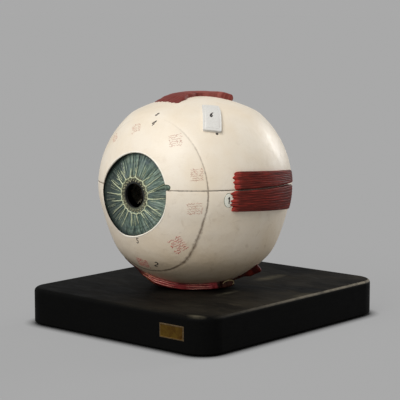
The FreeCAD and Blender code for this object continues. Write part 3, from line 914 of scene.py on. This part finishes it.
def addThreads():
    dice = np.random.default_rng(31)
    turn = np.linspace(0, fullTurn, 260)
    line, out = irisLine(turn, ringAt(turn), 0.26)
    paths = [(line, out, 0.84 + 0.16 * ripple(turn, 14, 12, 30), 0.42)]
    for start, end, near, far in threads:
        share = np.linspace(0, 1, 34)
        shake = 0.0015 * ripple(share * 9, int(dice.integers(1000)), 1.0, 2.6)
        angle = np.radians(start + (end - start) * share) + shake
        line, out = irisLine(angle, near + (far - near) * share, 0.16)
        width = (0.98 - 0.66 * share) * (1 + 0.08 * ripple(share * 20, int(dice.integers(1000))))
        paths.append((line, out, width, 0.44 - 0.26 * share))
        if dice.random() < 0.3:
            fork = np.linspace(0, 1, 18)
            side = 1 if dice.random() < 0.5 else -1
            base = np.radians(start + (end - start) * 0.45)
            angle = base + side * 0.085 * fork ** 0.8 + 0.008 * ripple(fork * 6, int(dice.integers(1000)))
            parted = near + (far - near) * 0.45
            line, out = irisLine(angle, parted + (far - parted) * 0.8 * fork)
            paths.append((line, out, 0.48 - 0.3 * fork, 0.24 - 0.12 * fork))
    # faint straight hairs between the threads
    share = np.linspace(0, 1, 12)
    for _ in range(iris["hairs"]):
        angle = dice.uniform(-math.pi, math.pi)
        near = iris["ring"] + dice.uniform(0.2, 8.0)
        far = near + dice.uniform(3.0, 8.0)
        angle = angle + 0.01 * share * dice.uniform(-1, 1)
        line, out = irisLine(angle, near + (min(far, 28.0) - near) * share)
        paths.append((line, out, 0.24 - 0.12 * share, 0.14))
    ribbons("iris_threads", paths, finish["thread"], "iris")
    # small pebbles between the ring and the pupil
    pebbles = []
    share = np.linspace(-1, 1, 7)
    body = np.sqrt(np.clip(1.05 - share ** 2, 0, 1))
    for k in range(iris["pebbles"]):
        angle = fullTurn * (k + dice.uniform(-0.3, 0.3)) / iris["pebbles"]
        spot = iris["ring"] - (1.9 if k % 2 else 3.0) + dice.uniform(-0.25, 0.25)
        size = dice.uniform(0.45, 0.75)
        line, out = irisLine(angle, spot + size * share, 0.06)
        pebbles.append((line, out, 1.7 * size * body, 0.30 * body))
    ribbons("iris_pebbles", pebbles, finish["pebble"], "iris")


def addLug():
    low, high = np.array(lug["low"]), np.array(lug["high"])
    half, centre = 0.5 * (high - low), 0.5 * (high + low)
    inside, count = half - lug["round"], lug["steps"]
    steps = np.linspace(-1, 1, count)
    first, second = (grid.ravel() for grid in np.meshgrid(steps, steps, indexing="ij"))
    points, faces = [], []
    for axis in range(3):
        for side in (-1, 1):
            box = np.roll(np.stack([side + 0 * first, first, second], -1), axis, axis=1) * half
            core = np.clip(box, -inside, inside)
            faces += gridFaces(count, count, len(points) * count ** 2)
            points.append(centre + core + unit(box - core) * lug["round"])
    makePiece("iris_lug", np.concatenate(points), faces, finish["lug"], "iris", sharp=60)
    # the ridge that leads to the tab, and a pale line along its upper side as a painted highlight
    share = np.linspace(0, 1, 24)
    line, out = irisLine(np.radians(14.5 - 0.4 * share), 15.0 + 14.4 * share, 0.1)
    ridge = (line, out, 0.5 + 3.0 * share ** 1.4, 0.2 + 1.3 * share ** 1.5)
    ribbons("iris_ridge", [ridge], finish["lug"], "iris")
    line, out = irisLine(np.radians(15.5 + 3.0 * share), 14.5 + 14.0 * share, 0.3)
    pale = (line, out, 0.7 - 0.3 * share, 0.5 + 0.5 * share)
    ribbons("iris_ridge_highlight", [pale], finish["thread"], "iris")


addIris()
addThreads()
addLug()
print("iris made")


# muscles: straps that lie on the ball along great circles

# the thickness and the long edges are pairs of place along the strap and value
medial = {"front": 62.5, "round": 4.0, "turn": -4.0, "length": 61.0, "width": 29.0,
          "thickness": [(0, 1.4), (5, 3.2), (61, 3.6)],
          "corner": 1.8, "edge": 1.5, "fray": 0.9, "seed": 3, "rows": 110}
lateral = {"front": 68.0, "round": 176.0, "turn": 4.0, "length": 58.0, "width": 27.0,
           "thickness": [(0, 1.4), (5, 3.1), (58, 3.4)],
           "corner": 1.8, "edge": 1.4, "fray": 0.8, "seed": 17, "rows": 100}
superior = {"front": 68.5, "round": 96.0, "turn": -14.0, "length": 60.5,
            "thickness": [(0, 0.5), (5, 1.2), (11, 2.4), (18, 3.1), (30, 3.5), (42, 3.9), (52, 5.0),
                          (57, 4.8), (60.5, 2.8)],
            "low": [(0, -14.4), (8, -12.8), (18, -7.5), (28, -5.0), (45, -5.0), (54, -7.5), (60.5, -9.5)],
            "high": [(0, 16.4), (20, 16.0), (60.5, 14.5)],
            "corner": 2.2, "rearCorner": 4.0, "edge": 1.9, "fray": 0.6, "seed": 29}
inferior = {"front": 58.5, "round": -123.7, "turn": 62.0, "length": 104.0,
            "thickness": [(0, 0.4), (11, 0.7), (19, 2.6), (28, 4.3), (74, 4.4), (80, 3.4), (85, 1.2),
                          (90, 1.6), (97, 4.2), (104, 5.6)],
            "low": [(0, -6.0), (25, -15.5), (80, -15.5), (104, -11.0)],
            "high": [(0, 5.0), (15, 11.0), (25, 16.0), (34, 18.0), (68, 18.0), (78, 13.5), (86, 8.0),
                     (92, 9.0), (104, 13.0)],
            "corner": 3.0, "rearCorner": 0.8, "edge": 2.0, "fray": 0.4, "seed": 41, "rows": 170,
            "underside": -74.4}
inferiorOblique = {"front": 87.0, "round": -61.0, "turn": -66.0, "from": 3.0, "length": 89.0, "width": 9.5,
                   "thickness": [(0, 5.2), (8, 4.6), (89, 4.4)],
                   "corner": 1.4, "edge": 1.8, "seed": 53, "columns": 30, "rows": 110, "underside": -74.4}

# halves of a side muscle: gap to the parting plane, its growth to the rear, and what sets the upper one off
sideHalves = {"gap": 0.5, "gapRear": 0.05, "upperFrom": 1.4, "upperNarrower": 1.3, "upperCords": 8,
              "lowerCords": 9}


def strapWays(strap):
    # where the strap starts, where it heads, and the axis it turns about
    start = unitAt(strap["front"], strap["round"])
    back = unit(np.array([0.0, 1.0, 0.0]) - start * start[1])
    turn = math.radians(strap["turn"])
    heading = back * math.cos(turn) + np.cross(start, back) * math.sin(turn)
    return start, heading, np.cross(start, heading)


def onStrap(strap, along, across):
    # unit directions for places on the strap, both in millimetres
    start, heading, axis = strapWays(strap)
    angle, off = (np.asarray(value)[..., None] / ball["radius"] for value in (along, across))
    return np.sqrt(1 - off ** 2) * (np.cos(angle) * start + np.sin(angle) * heading) + off * axis


def acrossAtLevel(strap, along, level):
    # how far across the strap lies at a height above the middle of the ball
    start, heading, axis = strapWays(strap)
    angle = along / ball["radius"]
    rise = start[2] * np.cos(angle) + heading[2] * np.sin(angle)
    off = np.zeros_like(along)
    for _ in range(6):
        off = (level / (ball["radius"] + 2) - rise * np.sqrt(1 - off ** 2)) / axis[2]
    return off * ball["radius"]


def knots(pairs):
    # smooth value along a strap from pairs of place and value, in millimetres
    spots, values = np.array(pairs, float).T
    def at(along):
        step = np.clip(np.searchsorted(spots, along, side="right") - 1, 0, len(spots) - 2)
        share = smoothStep((along - spots[step]) / (spots[step + 1] - spots[step]))
        return values[step] + (values[step + 1] - values[step]) * share
    return at


def closerEnds(count, strength):
    # shares from 0 to 1 that lie closer together at both ends
    even = np.linspace(0, 1, count)
    return strength * (0.5 - 0.5 * np.cos(math.pi * even)) + (1 - strength) * even


def taper(count, start, power):
    # full in the middle and thinner towards both ends
    return np.sin(np.linspace(start, math.pi - start, count)) ** power


def strapPiece(name, strap, material, body, stand, low, high, relief):
    # low and high give the two long edges in millimetres from the middle line
    share, shareAcross = closerEnds(strap.get("rows", 90), 0.55), closerEnds(strap.get("columns", 56), 0.5)
    rows, columns, length = len(share), len(shareAcross), strap["length"]
    along, shareAcross = np.meshgrid(share * length, shareAcross, indexing="ij")
    lowEdge, highEdge = (edge(along) if callable(edge) else edge for edge in (low, high))
    for end, corner in ((along, strap["corner"]), (length - along, strap.get("rearCorner", strap["corner"]))):
        inset = corner - np.sqrt(np.clip(corner ** 2 - np.clip(corner - end, 0, corner) ** 2, 0, None))
        lowEdge, highEdge = lowEdge + inset, highEdge - inset
    across = lowEdge + (highEdge - lowEdge) * shareAcross
    frayed = strap.get("fray", 0.0) * ripple(across, strap["seed"], 0.6, 2.6) * (1 - share[:, None]) ** 6
    ways = onStrap(strap, along + strap.get("from", 0.0) - frayed, across)
    near = np.minimum(np.minimum(across - lowEdge, highEdge - across), np.minimum(along, length - along))
    dome = np.sqrt(np.clip(1 - (1 - np.clip(near / strap["edge"], 0, 1)) ** 2, 0, 1))
    thick = knots(strap["thickness"])(along)
    rise = thick - np.minimum(strap["edge"], 0.8 * thick) * 0.8 * (1 - dome)
    rise = rise + relief(along, across, shareAcross) * smoothStep(near / 1.2) * np.minimum(thick / 2.0, 1.0)
    if "underside" in strap:
        # nothing hangs lower than this level
        height = ways[..., 2]
        room = np.where(height < -0.3, strap["underside"] / np.minimum(height, -0.3) - reach(ways), 99)
        rise = np.minimum(rise, room)
    points = np.concatenate([onSurface(ways, lift).reshape(-1, 3) for lift in (rise, -0.5)])
    count = rows * columns
    faces = gridFaces(rows, columns) + [tuple(reversed(face)) for face in gridFaces(rows, columns, count)]
    grid = np.arange(count).reshape(rows, columns)
    rim = np.concatenate([grid[0], grid[1:, -1], grid[-1, -2::-1], grid[-2:0:-1, 0]]).tolist()
    faces += [(a, a + count, b + count, b) for a, b in zip(rim, rim[1:] + rim[:1])]
    flat = np.stack([along, across], -1).reshape(-1, 2)
    makePiece(name, points, faces, material, body, [stand], uv=np.concatenate([flat, flat]), sharp=65)


def cordRelief(strap, count, height):
    # rounded cords side by side, with narrow valleys that wander a little
    def relief(along, across, shareAcross):
        seed = strap["seed"]
        shift = 0.22 * ripple(along, seed + 1, 0.03, 0.12) + 0.05 * ripple(along, seed + 2, 0.2, 0.5)
        phase = np.abs(np.sin(math.pi * (shareAcross * count + shift)))
        fine = 0.10 * ripple(across + 0.3 * shift, seed + 3, 5, 9)
        return height * (phase ** 0.6 - 0.8) + fine * height
    return relief


def addSideMuscle(name, strap):
    upSide = 1 if strapWays(strap)[2][2] > 0 else -1
    for part, body, side in (("upper", upperHalf, 1), ("lower", baseHalf, -1)):
        look, free = dict(strap), 0.5 * strap["width"]
        if side > 0:
            look["from"] = sideHalves["upperFrom"]
            free -= sideHalves["upperNarrower"]
        else:
            look["seed"] += 7
        free *= side * upSide

        def cut(along):
            gap = sideHalves["gap"] + sideHalves["gapRear"] * smoothStep((along - 14) / 40)
            return acrossAtLevel(strap, along, shell["parting"] + side * gap)

        low, high = (cut, free) if side * upSide > 0 else (free, cut)
        strapPiece(name + "_muscle_" + part, look, finish["muscle"], body,
                   name + "_rectus_" + part, low, high, cordRelief(look, sideHalves[part + "Cords"], 0.34))


def addMuscles():
    addSideMuscle("medial", medial)
    addSideMuscle("lateral", lateral)
    strapPiece("superior_muscle", superior, finish["superior"], upperHalf, "superior_rectus",
               knots(superior["low"]), knots(superior["high"]), cordRelief(superior, 9, 0.28))
    strapPiece("inferior_muscle", inferior, finish["inferior"], baseHalf, "inferior_rectus",
               knots(inferior["low"]), knots(inferior["high"]), cordRelief(inferior, 11, 0.8))
    half = 0.5 * inferiorOblique["width"]
    strapPiece("inferior_oblique_muscle", inferiorOblique, finish["oblique"], baseHalf,
               "inferior_oblique", -half, half, cordRelief(inferiorOblique, 4, 0.4))


def addCutEnd():
    # pale sheath that shows round the cut end of the inferior oblique
    count = 30
    turn = np.radians(np.linspace(-50, 165, count))
    ways = onStrap(inferiorOblique, inferiorOblique["from"] + 0.1, 4.1 * np.cos(turn))
    out = np.tile(-strapWays(inferiorOblique)[1], (count, 1))
    width = 0.9 * taper(count, 0.3, 0.5)
    path = (onSurface(ways, 2.7 - 2.0 * np.sin(turn)), out, width, 0.6 * width)
    ribbons("oblique_cut_end", [path], finish["cutEnd"], baseHalf, 0.3)


# how far in from the edge and how far up the side each strand lies, and the lowest level a strand reaches
strands = {"rows": [(0.0, 0.2), (0.05, 0.52), (0.5, 0.84)], "lowest": 74.2, "count": 60}


def addStrands():
    # pale strands along the near side of the inferior muscle
    dice = np.random.default_rng(91)
    near, thick = knots(inferior["high"]), knots(inferior["thickness"])
    side, count = strapWays(inferior)[2], strands["count"]
    ends = taper(count, 0.1, 0.5)
    paths = []
    for inset, share in strands["rows"]:
        front = (dice.uniform(17, 22), dice.uniform(40, 44))
        rear = (dice.uniform(46, 50), dice.uniform(66, 71))
        for first, last in (front, rear):
            along = np.linspace(first, last, count)
            wave = ripple(along, int(dice.integers(1000)), 0.15, 0.5)
            ways = onStrap(inferior, along, near(along) - inset)
            size = reach(ways) + (share + 0.03 * wave) * thick(along)
            size = np.minimum(size, strands["lowest"] / np.maximum(-ways[:, 2], 0.3))
            out = unit((1 - share) * side + share * ways)
            paths.append((ways * size[:, None], out, 0.62 * ends, 0.34 * ends))
    ribbons("inferior_strands", paths, finish["strand"], baseHalf)


addMuscles()
addCutEnd()
addStrands()
print("muscles made")


# tendon of the superior oblique: a pale strap with a bevelled border, and a dark dot of painted shadow below
# it

tendon = {"front": 61.4, "round": 45.0, "turn": 56.5, "length": 31.0, "low": -7.5, "high": 5.6,
          "thickness": [(0, 2.6), (20, 2.2), (31, 0.9)], "corner": 1.2, "edge": 1.0, "seed": 61,
          "border": 1.5, "borderDrop": 0.35, "shadowDot": (-1.0, -4.6), "shadowDotSize": 1.7}


def addTendon():
    low, high = tendon["low"], tendon["high"]

    def relief(along, across, shareAcross):
        edge = np.minimum(np.minimum(across - low, high - across), along)
        drop = tendon["borderDrop"] * (1 - smoothStep((edge - tendon["border"]) / 0.7))
        return 0.05 * ripple(along, 4, 0.2, 0.8) - drop

    strapPiece("oblique_tendon", tendon, finish["tendon"], upperHalf,
               "superior_oblique_tendon", low, high, relief)
    # dark dot of painted shadow, drawn in ink below the tendon
    share = np.linspace(-1, 1, 9)
    width = np.sqrt(np.clip(1.03 - share ** 2, 0, 1))
    along, across = tendon["shadowDot"]
    ways = onStrap(tendon, along, across + 0.9 * share)
    shadowDot = (onSurface(ways), ways, tendon["shadowDotSize"] * width, 0.55 * width)
    ribbons("tendon_shadow_dot", [shadowDot], finish["ink"], upperHalf)


addTendon()
print("tendon made")


# fine lines on the ball: small vessels, numerals and pale rims, the rims a painted highlight on the window's
# lip

# each cluster: place in degrees, width and height in millimetres, number of lines, lean, and 1 if strong
vessels = {
    "upper_cap": [(42.1, 129.5, 7, 9, 4, 70, 0), (40.3, 100.0, 9, 8, 5, 35, 0),
                  (42.4, 53.8, 11, 10, 6, 12, 0), (43.9, 18.6, 11, 9, 6, 4, 0)],
    "lower_cap": [(41.6, -9.3, 13, 9, 5, 4, 0), (40.8, -47.5, 13, 12, 7, 30, 1),
                  (43.8, -92.6, 12, 9, 6, -12, 1)],
}
vesselSeeds = {"upper_cap": 77, "lower_cap": 78}

# plain numerals as pen strokes in a box one wide and one high
strokes = {
    "1": [(0.2, 0.7), (0.5, 1.0), (0.5, 0.0)],
    "2": [(0.1, 0.8), (0.3, 1.0), (0.7, 0.95), (0.75, 0.65), (0.1, 0.0), (0.85, 0.05)],
    "4": [(0.6, 0.0), (0.6, 1.0), (0.1, 0.35), (0.85, 0.35)],
    "5": [(0.8, 1.0), (0.25, 1.0), (0.2, 0.55), (0.6, 0.6), (0.75, 0.3), (0.5, 0.0), (0.1, 0.1)],
    "6": [(0.7, 1.0), (0.3, 0.6), (0.2, 0.2), (0.5, 0.0), (0.75, 0.25), (0.5, 0.5), (0.25, 0.3)],
    "8": [(0.5, 0.5), (0.2, 0.75), (0.5, 1.0), (0.8, 0.75), (0.5, 0.5), (0.15, 0.25), (0.5, 0.0),
          (0.85, 0.25), (0.5, 0.5)],
}
# numeral, place in degrees, height in millimetres, lean, extra lift off the ball, and body
numerals = [("8", 51.1, 86.4, 3.6, -20, 0.0, upperHalf), ("4", 44.4, 82.8, 5.2, -20, 0.0, "upper_cap"),
            ("5", 27.9, -87.9, 4.2, -14, 0.0, "lower_cap"), ("2", 44.4, -79.0, 5.2, -30, 0.0, "lower_cap"),
            ("1", 60.6, -2.0, 4.6, -4, 0.3, baseHalf), ("6", 68.2, 54.8, 4.6, -20, 2.5, upperHalf)]
numberSpot = {"front": 60.4, "round": -2.1, "halfWide": 3.4, "halfTall": 5.0, "lift": 0.18, "sides": 40}

# where each cap's pale rim, a painted highlight on the window's lip, starts and ends in degrees round the
# window
rimHighlightPlaces = {"upper_cap": (17.5, 170.5), "lower_cap": (189.5, 350.5)}


def leaning(x, y, lean):
    turn = math.radians(lean)
    return x * math.cos(turn) - y * math.sin(turn), x * math.sin(turn) + y * math.cos(turn)


def onBall(front, around, right, up, lift=0.0):
    # points at distances right and up of a place on the ball, seen from outside, and their outward ways
    centre = unitAt(front, around)
    level = unit(np.cross([0.0, 0.0, 1.0], centre))
    ways = unit(centre * ball["radius"] + np.outer(right, level) + np.outer(up, np.cross(centre, level)))
    return onSurface(ways, lift), ways


def vesselLine(front, around, x, y, lean, width, height):
    line, out = onBall(front, around, *leaning(x, y, lean))
    ends = taper(len(line), 0.15, 0.4)
    return line, out, width * ends, height * ends


def addVessels(body):
    dice = np.random.default_rng(vesselSeeds[body])
    for strong in (0, 1):
        paths = []
        for front, around, width, height, count, lean, kind in vessels[body]:
            if kind != strong:
                continue
            for k in range(count):
                base = (k + 0.5) / count * height - 0.5 * height
                pieces = int(dice.integers(2, 4))
                cuts = np.sort(np.append(dice.uniform(0.1, 0.9, pieces - 1), [0, 1]))
                for a, b in zip(cuts[:-1] + 0.02, cuts[1:] - 0.04):
                    if b - a < 0.08:
                        continue
                    share = np.linspace(a, b, 16)
                    x = (share - 0.5) * width * dice.uniform(0.8, 1.0)
                    y = base + 0.42 * ripple(share * 14, int(dice.integers(1000)), 1.0, 3.0)
                    paths.append(vesselLine(front, around, x, y, lean, 0.46 if strong else 0.34, 0.12))
                    if dice.random() < 0.75:
                        spot = int(dice.integers(3, 13))
                        tall = dice.uniform(0.8, 1.7) * (1 if dice.random() < 0.5 else -1)
                        rise = np.linspace(0, 1, 8)
                        x = x[spot] + 0.25 * ripple(rise * 5, int(dice.integers(1000)))
                        paths.append(vesselLine(front, around, x, y[spot] + tall * rise, lean, 0.28, 0.10))
        name, paint = ("deep_vessels_", "deepVessel") if strong else ("pale_vessels_", "vessel")
        if paths:
            ribbons(name + body, paths, finish[paint], body, 0.25)


def addNumerals():
    for index, (digit, front, around, tall, lean, lift, body) in enumerate(numerals):
        corners = np.array(strokes[digit])
        share = np.linspace(0, len(corners) - 1, 8 * len(corners))
        x, y = (np.interp(share, range(len(corners)), corners[:, k]) * tall for k in (0, 1))
        line, out = onBall(front, around, *leaning(0.62 * x - 0.3 * tall, y - 0.5 * tall, lean), lift)
        path = (line, out, 0.13 * tall + 0.18, 0.12)
        ribbons("numeral_" + str(index + 1), [path], finish["ink"], body, 0.2)


def addNumberSpot():
    # round pale patch of paint behind the medial muscle's numeral
    spot = (numberSpot["front"], numberSpot["round"])
    wide, tall = numberSpot["halfWide"], numberSpot["halfTall"]
    turn = np.linspace(0, fullTurn, numberSpot["sides"], endpoint=False)
    wobble = 1 + 0.04 * np.sin(3 * turn + 1)

    def ring(share, lift):
        size = share * wobble
        return onBall(*spot, wide * size * np.cos(turn), tall * size * np.sin(turn), lift)[0]

    addPatch("number_spot", ring, numberSpot["lift"], 0.4, finish["spot"], baseHalf)
    turn = np.linspace(0.6, 5.6, 60)
    line, out = onBall(*spot, wide * np.cos(turn), tall * np.sin(turn))
    edge = (line, out, 0.42 + 0.12 * ripple(turn, 8, 2, 6), 0.16)
    ribbons("number_spot_edge", [edge], finish["spotEdge"], baseHalf)


def addLipHighlights():
    # pale paint round the window's mouth: a painted highlight on its rounded lip
    for body, ends in rimHighlightPlaces.items():
        around = np.radians(np.linspace(*ends, 160))
        front = np.full(160, 0.45)
        for _ in range(4):
            front = np.arcsin((windowRadius(around) + 0.85) / reach(wayAt(front, around)))
        ways = wayAt(front, around)
        width = 1.15 * (1 + 0.2 * ripple(around, 6, 3, 9)) * taper(160, 0.05, 0.2)
        rim = (onSurface(ways, -0.03), ways, width, 0.16)
        ribbons("window_rim_" + body, [rim], finish["windowLipHighlight"], body, 0.3)


for capBody in vessels:
    addVessels(capBody)
addNumerals()
addNumberSpot()
addLipHighlights()
print("lines made")


# vessels that spread over the retina from the optic disc

# each stem: heading round the disc in degrees, bend along the way, length in millimetres
retinaVessels = {"offset": -8.9, "radius": 63.0, "front": -39.0, "joint": 0.5, "height": 0.18, "trunks": 1.7,
                 "children": 5, "stems": [(62, 0.9, 96), (128, -0.5, 84), (-58, -0.9, 96), (-124, 0.5, 84),
                                          (12, 0.25, 40), (168, -0.2, 40)]}
opticDisc = {"radius": 4.2, "lift": 0.13, "sides": 44}
upWay = np.array([0, 0, 1.0])
discLevel = np.cross(nerveWay, upWay)


def liningReach(ways):
    # distance from the middle of the ball to the inner face of the retina
    drop = ball["crownHeight"] - ball["crownRadius"]
    rise = drop * ways[:, 2]
    crown = rise + np.sqrt(rise ** 2 - drop ** 2 + (ball["crownRadius"] + retinaVessels["offset"]) ** 2)
    return np.minimum(ball["radius"] + retinaVessels["offset"], crown)


def growVessel(way, heading, length, width, bend, dice, paths, level=0):
    # walks over the lining and sends off thinner branches
    count = max(int(length / 1.4), 8)
    step = length / count / retinaVessels["radius"]
    turns = ripple(np.arange(count) * 0.35, int(dice.integers(1000)), 0.3, 1.2)
    line, headings = [way], [heading]
    for k in range(count):
        heading = heading + np.cross(way, heading) * (bend * step + 0.05 * turns[k])
        way = unit(way + heading * step)
        heading = unit(heading - way * (heading @ way))
        line.append(way)
        headings.append(heading)
    paths.append((np.array(line), width * (1 - 0.72 * np.linspace(0, 1, count + 1))))
    if level == 2:
        return
    children = retinaVessels["children"] - 2 * level
    for k in range(children):
        spot = int(count * (0.18 + 0.72 * (k + dice.uniform(0.2, 0.8)) / children))
        lean = (1 if k % 2 else -1) * dice.uniform(0.5, 0.85)
        leaving = headings[spot] * math.cos(lean) + np.cross(line[spot], headings[spot]) * math.sin(lean)
        left = 5 + 0.55 * length * (1 - spot / count)
        thin = 0.7 * width * (1 - 0.72 * spot / count)
        growVessel(line[spot], leaving, left, thin, -0.8 * lean, dice, paths, level + 1)


def addRetinaVessels():
    dice = np.random.default_rng(57)
    paths = []
    for angle, bend, length in retinaVessels["stems"]:
        turn = math.radians(angle)
        heading = upWay * math.sin(turn) - discLevel * math.cos(turn)
        growVessel(nerveWay, heading, length, retinaVessels["trunks"], bend, dice, paths)
    for part, body, side in (("upper", upperHalf, 1), ("lower", baseHalf, -1)):
        runs = []
        for ways, width in paths:
            line = ways * liningReach(ways)[:, None]
            clear = side * (line[:, 2] - shell["parting"]) > retinaVessels["joint"]
            inside = clear & (line[:, 1] > retinaVessels["front"])
            for run in np.split(np.arange(len(ways)), np.flatnonzero(np.diff(inside)) + 1):
                if inside[run[0]] and len(run) > 3:
                    runs.append((line[run], -ways[run], width[run], retinaVessels["height"]))
        ribbons("retina_vessels_" + part, runs, finish["retinaVessel"], body, 0.3)


def addOpticDisc():
    # pale disc on the retina where the nerve leaves
    turn = np.linspace(0, fullTurn, opticDisc["sides"], endpoint=False)[:, None]
    wobble = 1 + 0.03 * np.sin(3 * turn)

    def ring(share, lift):
        size = opticDisc["radius"] * share * wobble / retinaVessels["radius"]
        ways = unit(nerveWay + size * (discLevel * np.cos(turn) + upWay * np.sin(turn)))
        return ways * (liningReach(ways) - lift)[:, None]

    addPatch("optic_disc", ring, opticDisc["lift"], 0.3, finish["opticDisc"], baseHalf)


addRetinaVessels()
addOpticDisc()
print("retina vessels made")


# plate on the board's front: blank, with a raised border

plate = {"low": (47.8, 8.5), "high": (70.0, 18.7), "front": -102.4, "back": -101.2, "border": 0.9,
         "sink": 0.22, "perSide": 24}


def addPlate():
    (x0, z0), (x1, z1) = plate["low"], plate["high"]
    front, border, perSide = plate["front"], plate["border"], plate["perSide"]
    loops = [(0.0, plate["back"]), (0.0, front + 0.3), (0.25, front + 0.05), (0.45, front), (border, front),
             (border + 0.35, front + plate["sink"])]
    points = []
    for inset, y in loops:
        left, right, low, high = x0 + inset, x1 - inset, z0 + inset, z1 - inset
        corners = np.array([(left, low), (right, low), (right, high), (left, high)])
        for corner, along in zip(corners, np.roll(corners, -1, axis=0) - corners):
            for k in range(perSide):
                x, z = corner + along * k / perSide
                dent = 0.03 * math.sin(1.7 * x) * math.sin(2.3 * z + 1) if inset >= border else 0
                points.append((x, y + dent, z))
    count, last = 4 * perSide, len(loops) - 1
    faces = gridFaces(len(loops), count, 0, True)
    faces += [tuple(range(last * count, last * count + count)), tuple(reversed(range(count)))]
    slots = [1] * (4 * count) + [0] * (count + 1) + [1]
    paints = [finish["plate"], finish["plateEdge"]]
    makePiece("board_plate", np.array(points) - ballMiddle, faces, paints, baseHalf,
              ["name_plate"], slots=slots, sharp=30)


addPlate()
print("plate made")


# pieces that keep their own shape get their finish here

finishOf = {
    "board": ["base_block"], "wood": ["ball_seat"], "steel": ["base_screw", "screw_washer"],
    "pin": ["threaded_insert", "parting_pins", "cap_pins_lower", "cap_pins_upper"],
    "choroid": ["choroid_lower", "choroid_upper"], "retina": ["retina_lower", "retina_upper"],
    "ciliary": ["ciliary_ring_lower", "ciliary_ring_upper"], "vitreous": ["vitreous_body"], "lens": ["lens"],
    "nerve": ["optic_nerve_sheath", "optic_nerve_core"], "deepVessel": ["nerve_vessels"],
}
for key, names in finishOf.items():
    for name in names:
        for entry in nodes[name].material_slots:
            entry.material = finish[key]
print("finishes placed")


# floor and studio light; each light's place is given as seen from the camera

studio = {"grey": 0.397, "floorShare": 0.22, "floorDrop": 0.0012, "floorSize": 30.0, "contactShadow": 0.009,
          "ambient": 0.35,
          "key": {"left": 0.40, "near": 0.56, "up": 0.70, "level": 0.745, "spread": 48},
          "side": {"left": -0.72, "near": -0.62, "up": 0.30, "level": 0.35, "spread": 22}}


def addLights():
    turn = math.radians(camera["turn"])
    right, near = Vector((math.cos(turn), math.sin(turn), 0)), Vector((math.sin(turn), -math.cos(turn), 0))
    for name in ("key", "side"):
        light = studio[name]
        data = bpy.data.lights.new(name, "SUN")
        data.energy = math.pi * light["level"]
        data.angle = math.radians(light["spread"])
        way = -right * light["left"] + near * light["near"] + Vector((0, 0, light["up"]))
        lamp = place(name, data)
        lamp.rotation_mode = "QUATERNION"
        lamp.rotation_quaternion = way.normalized().to_track_quat("Z", "Y")


def directView(near):
    # 1 for what is seen straight, in a reflection or through clear resin
    path = put(near, "LightPath").outputs
    seen = maths("MAXIMUM", path["Is Camera Ray"], path["Is Glossy Ray"])
    return maths("MAXIMUM", seen, path["Is Transmission Ray"])


def addWorld():
    world = bpy.data.worlds.new("studio")
    bpy.context.scene.world = world
    world.use_nodes = True
    tree = world.node_tree
    tree.nodes.clear()
    grey, soft = (put(tree, "Background", {"Color": (1, 1, 1, 1), "Strength": studio[key]}).outputs[0]
                  for key in ("grey", "ambient"))
    both = put(tree, "MixShader", {0: directView(tree), 1: soft, 2: grey})
    put(tree, "OutputWorld", {"Surface": both.outputs[0]})


def addFloor():
    material, shader = startMaterial("floor_paper")
    grey, size, level = studio["grey"], studio["floorSize"], -studio["floorDrop"]
    wire(shader, {"Base Color": (grey, grey, grey, 1), "Roughness": 1.0, "Specular IOR Level": 0.0})
    clear = put(shader, "AmbientOcclusion", {"Distance": studio["contactShadow"]}, samples=16).outputs["AO"]
    bright = times(maths("POWER", spread(clear, 0.5, 1.0), 0.85), grey)
    glow = put(shader, "Emission", {"Color": (1, 1, 1, 1), "Strength": bright})
    part = times(directView(shader), 1 - studio["floorShare"])
    both = put(shader, "MixShader", {0: part, 1: shader.outputs[0], 2: glow.outputs[0]})
    wire(material.node_tree.nodes["Material Output"], {"Surface": both.outputs[0]})
    mesh = bpy.data.meshes.new("floor")
    corners = [(-size, -size, level), (size, -size, level), (size, size, level), (-size, size, level)]
    mesh.from_pydata(corners, [], [(0, 1, 2, 3)])
    mesh.materials.append(material)
    floor = place("floor", mesh)


addLights()
addWorld()
addFloor()
print("studio made")
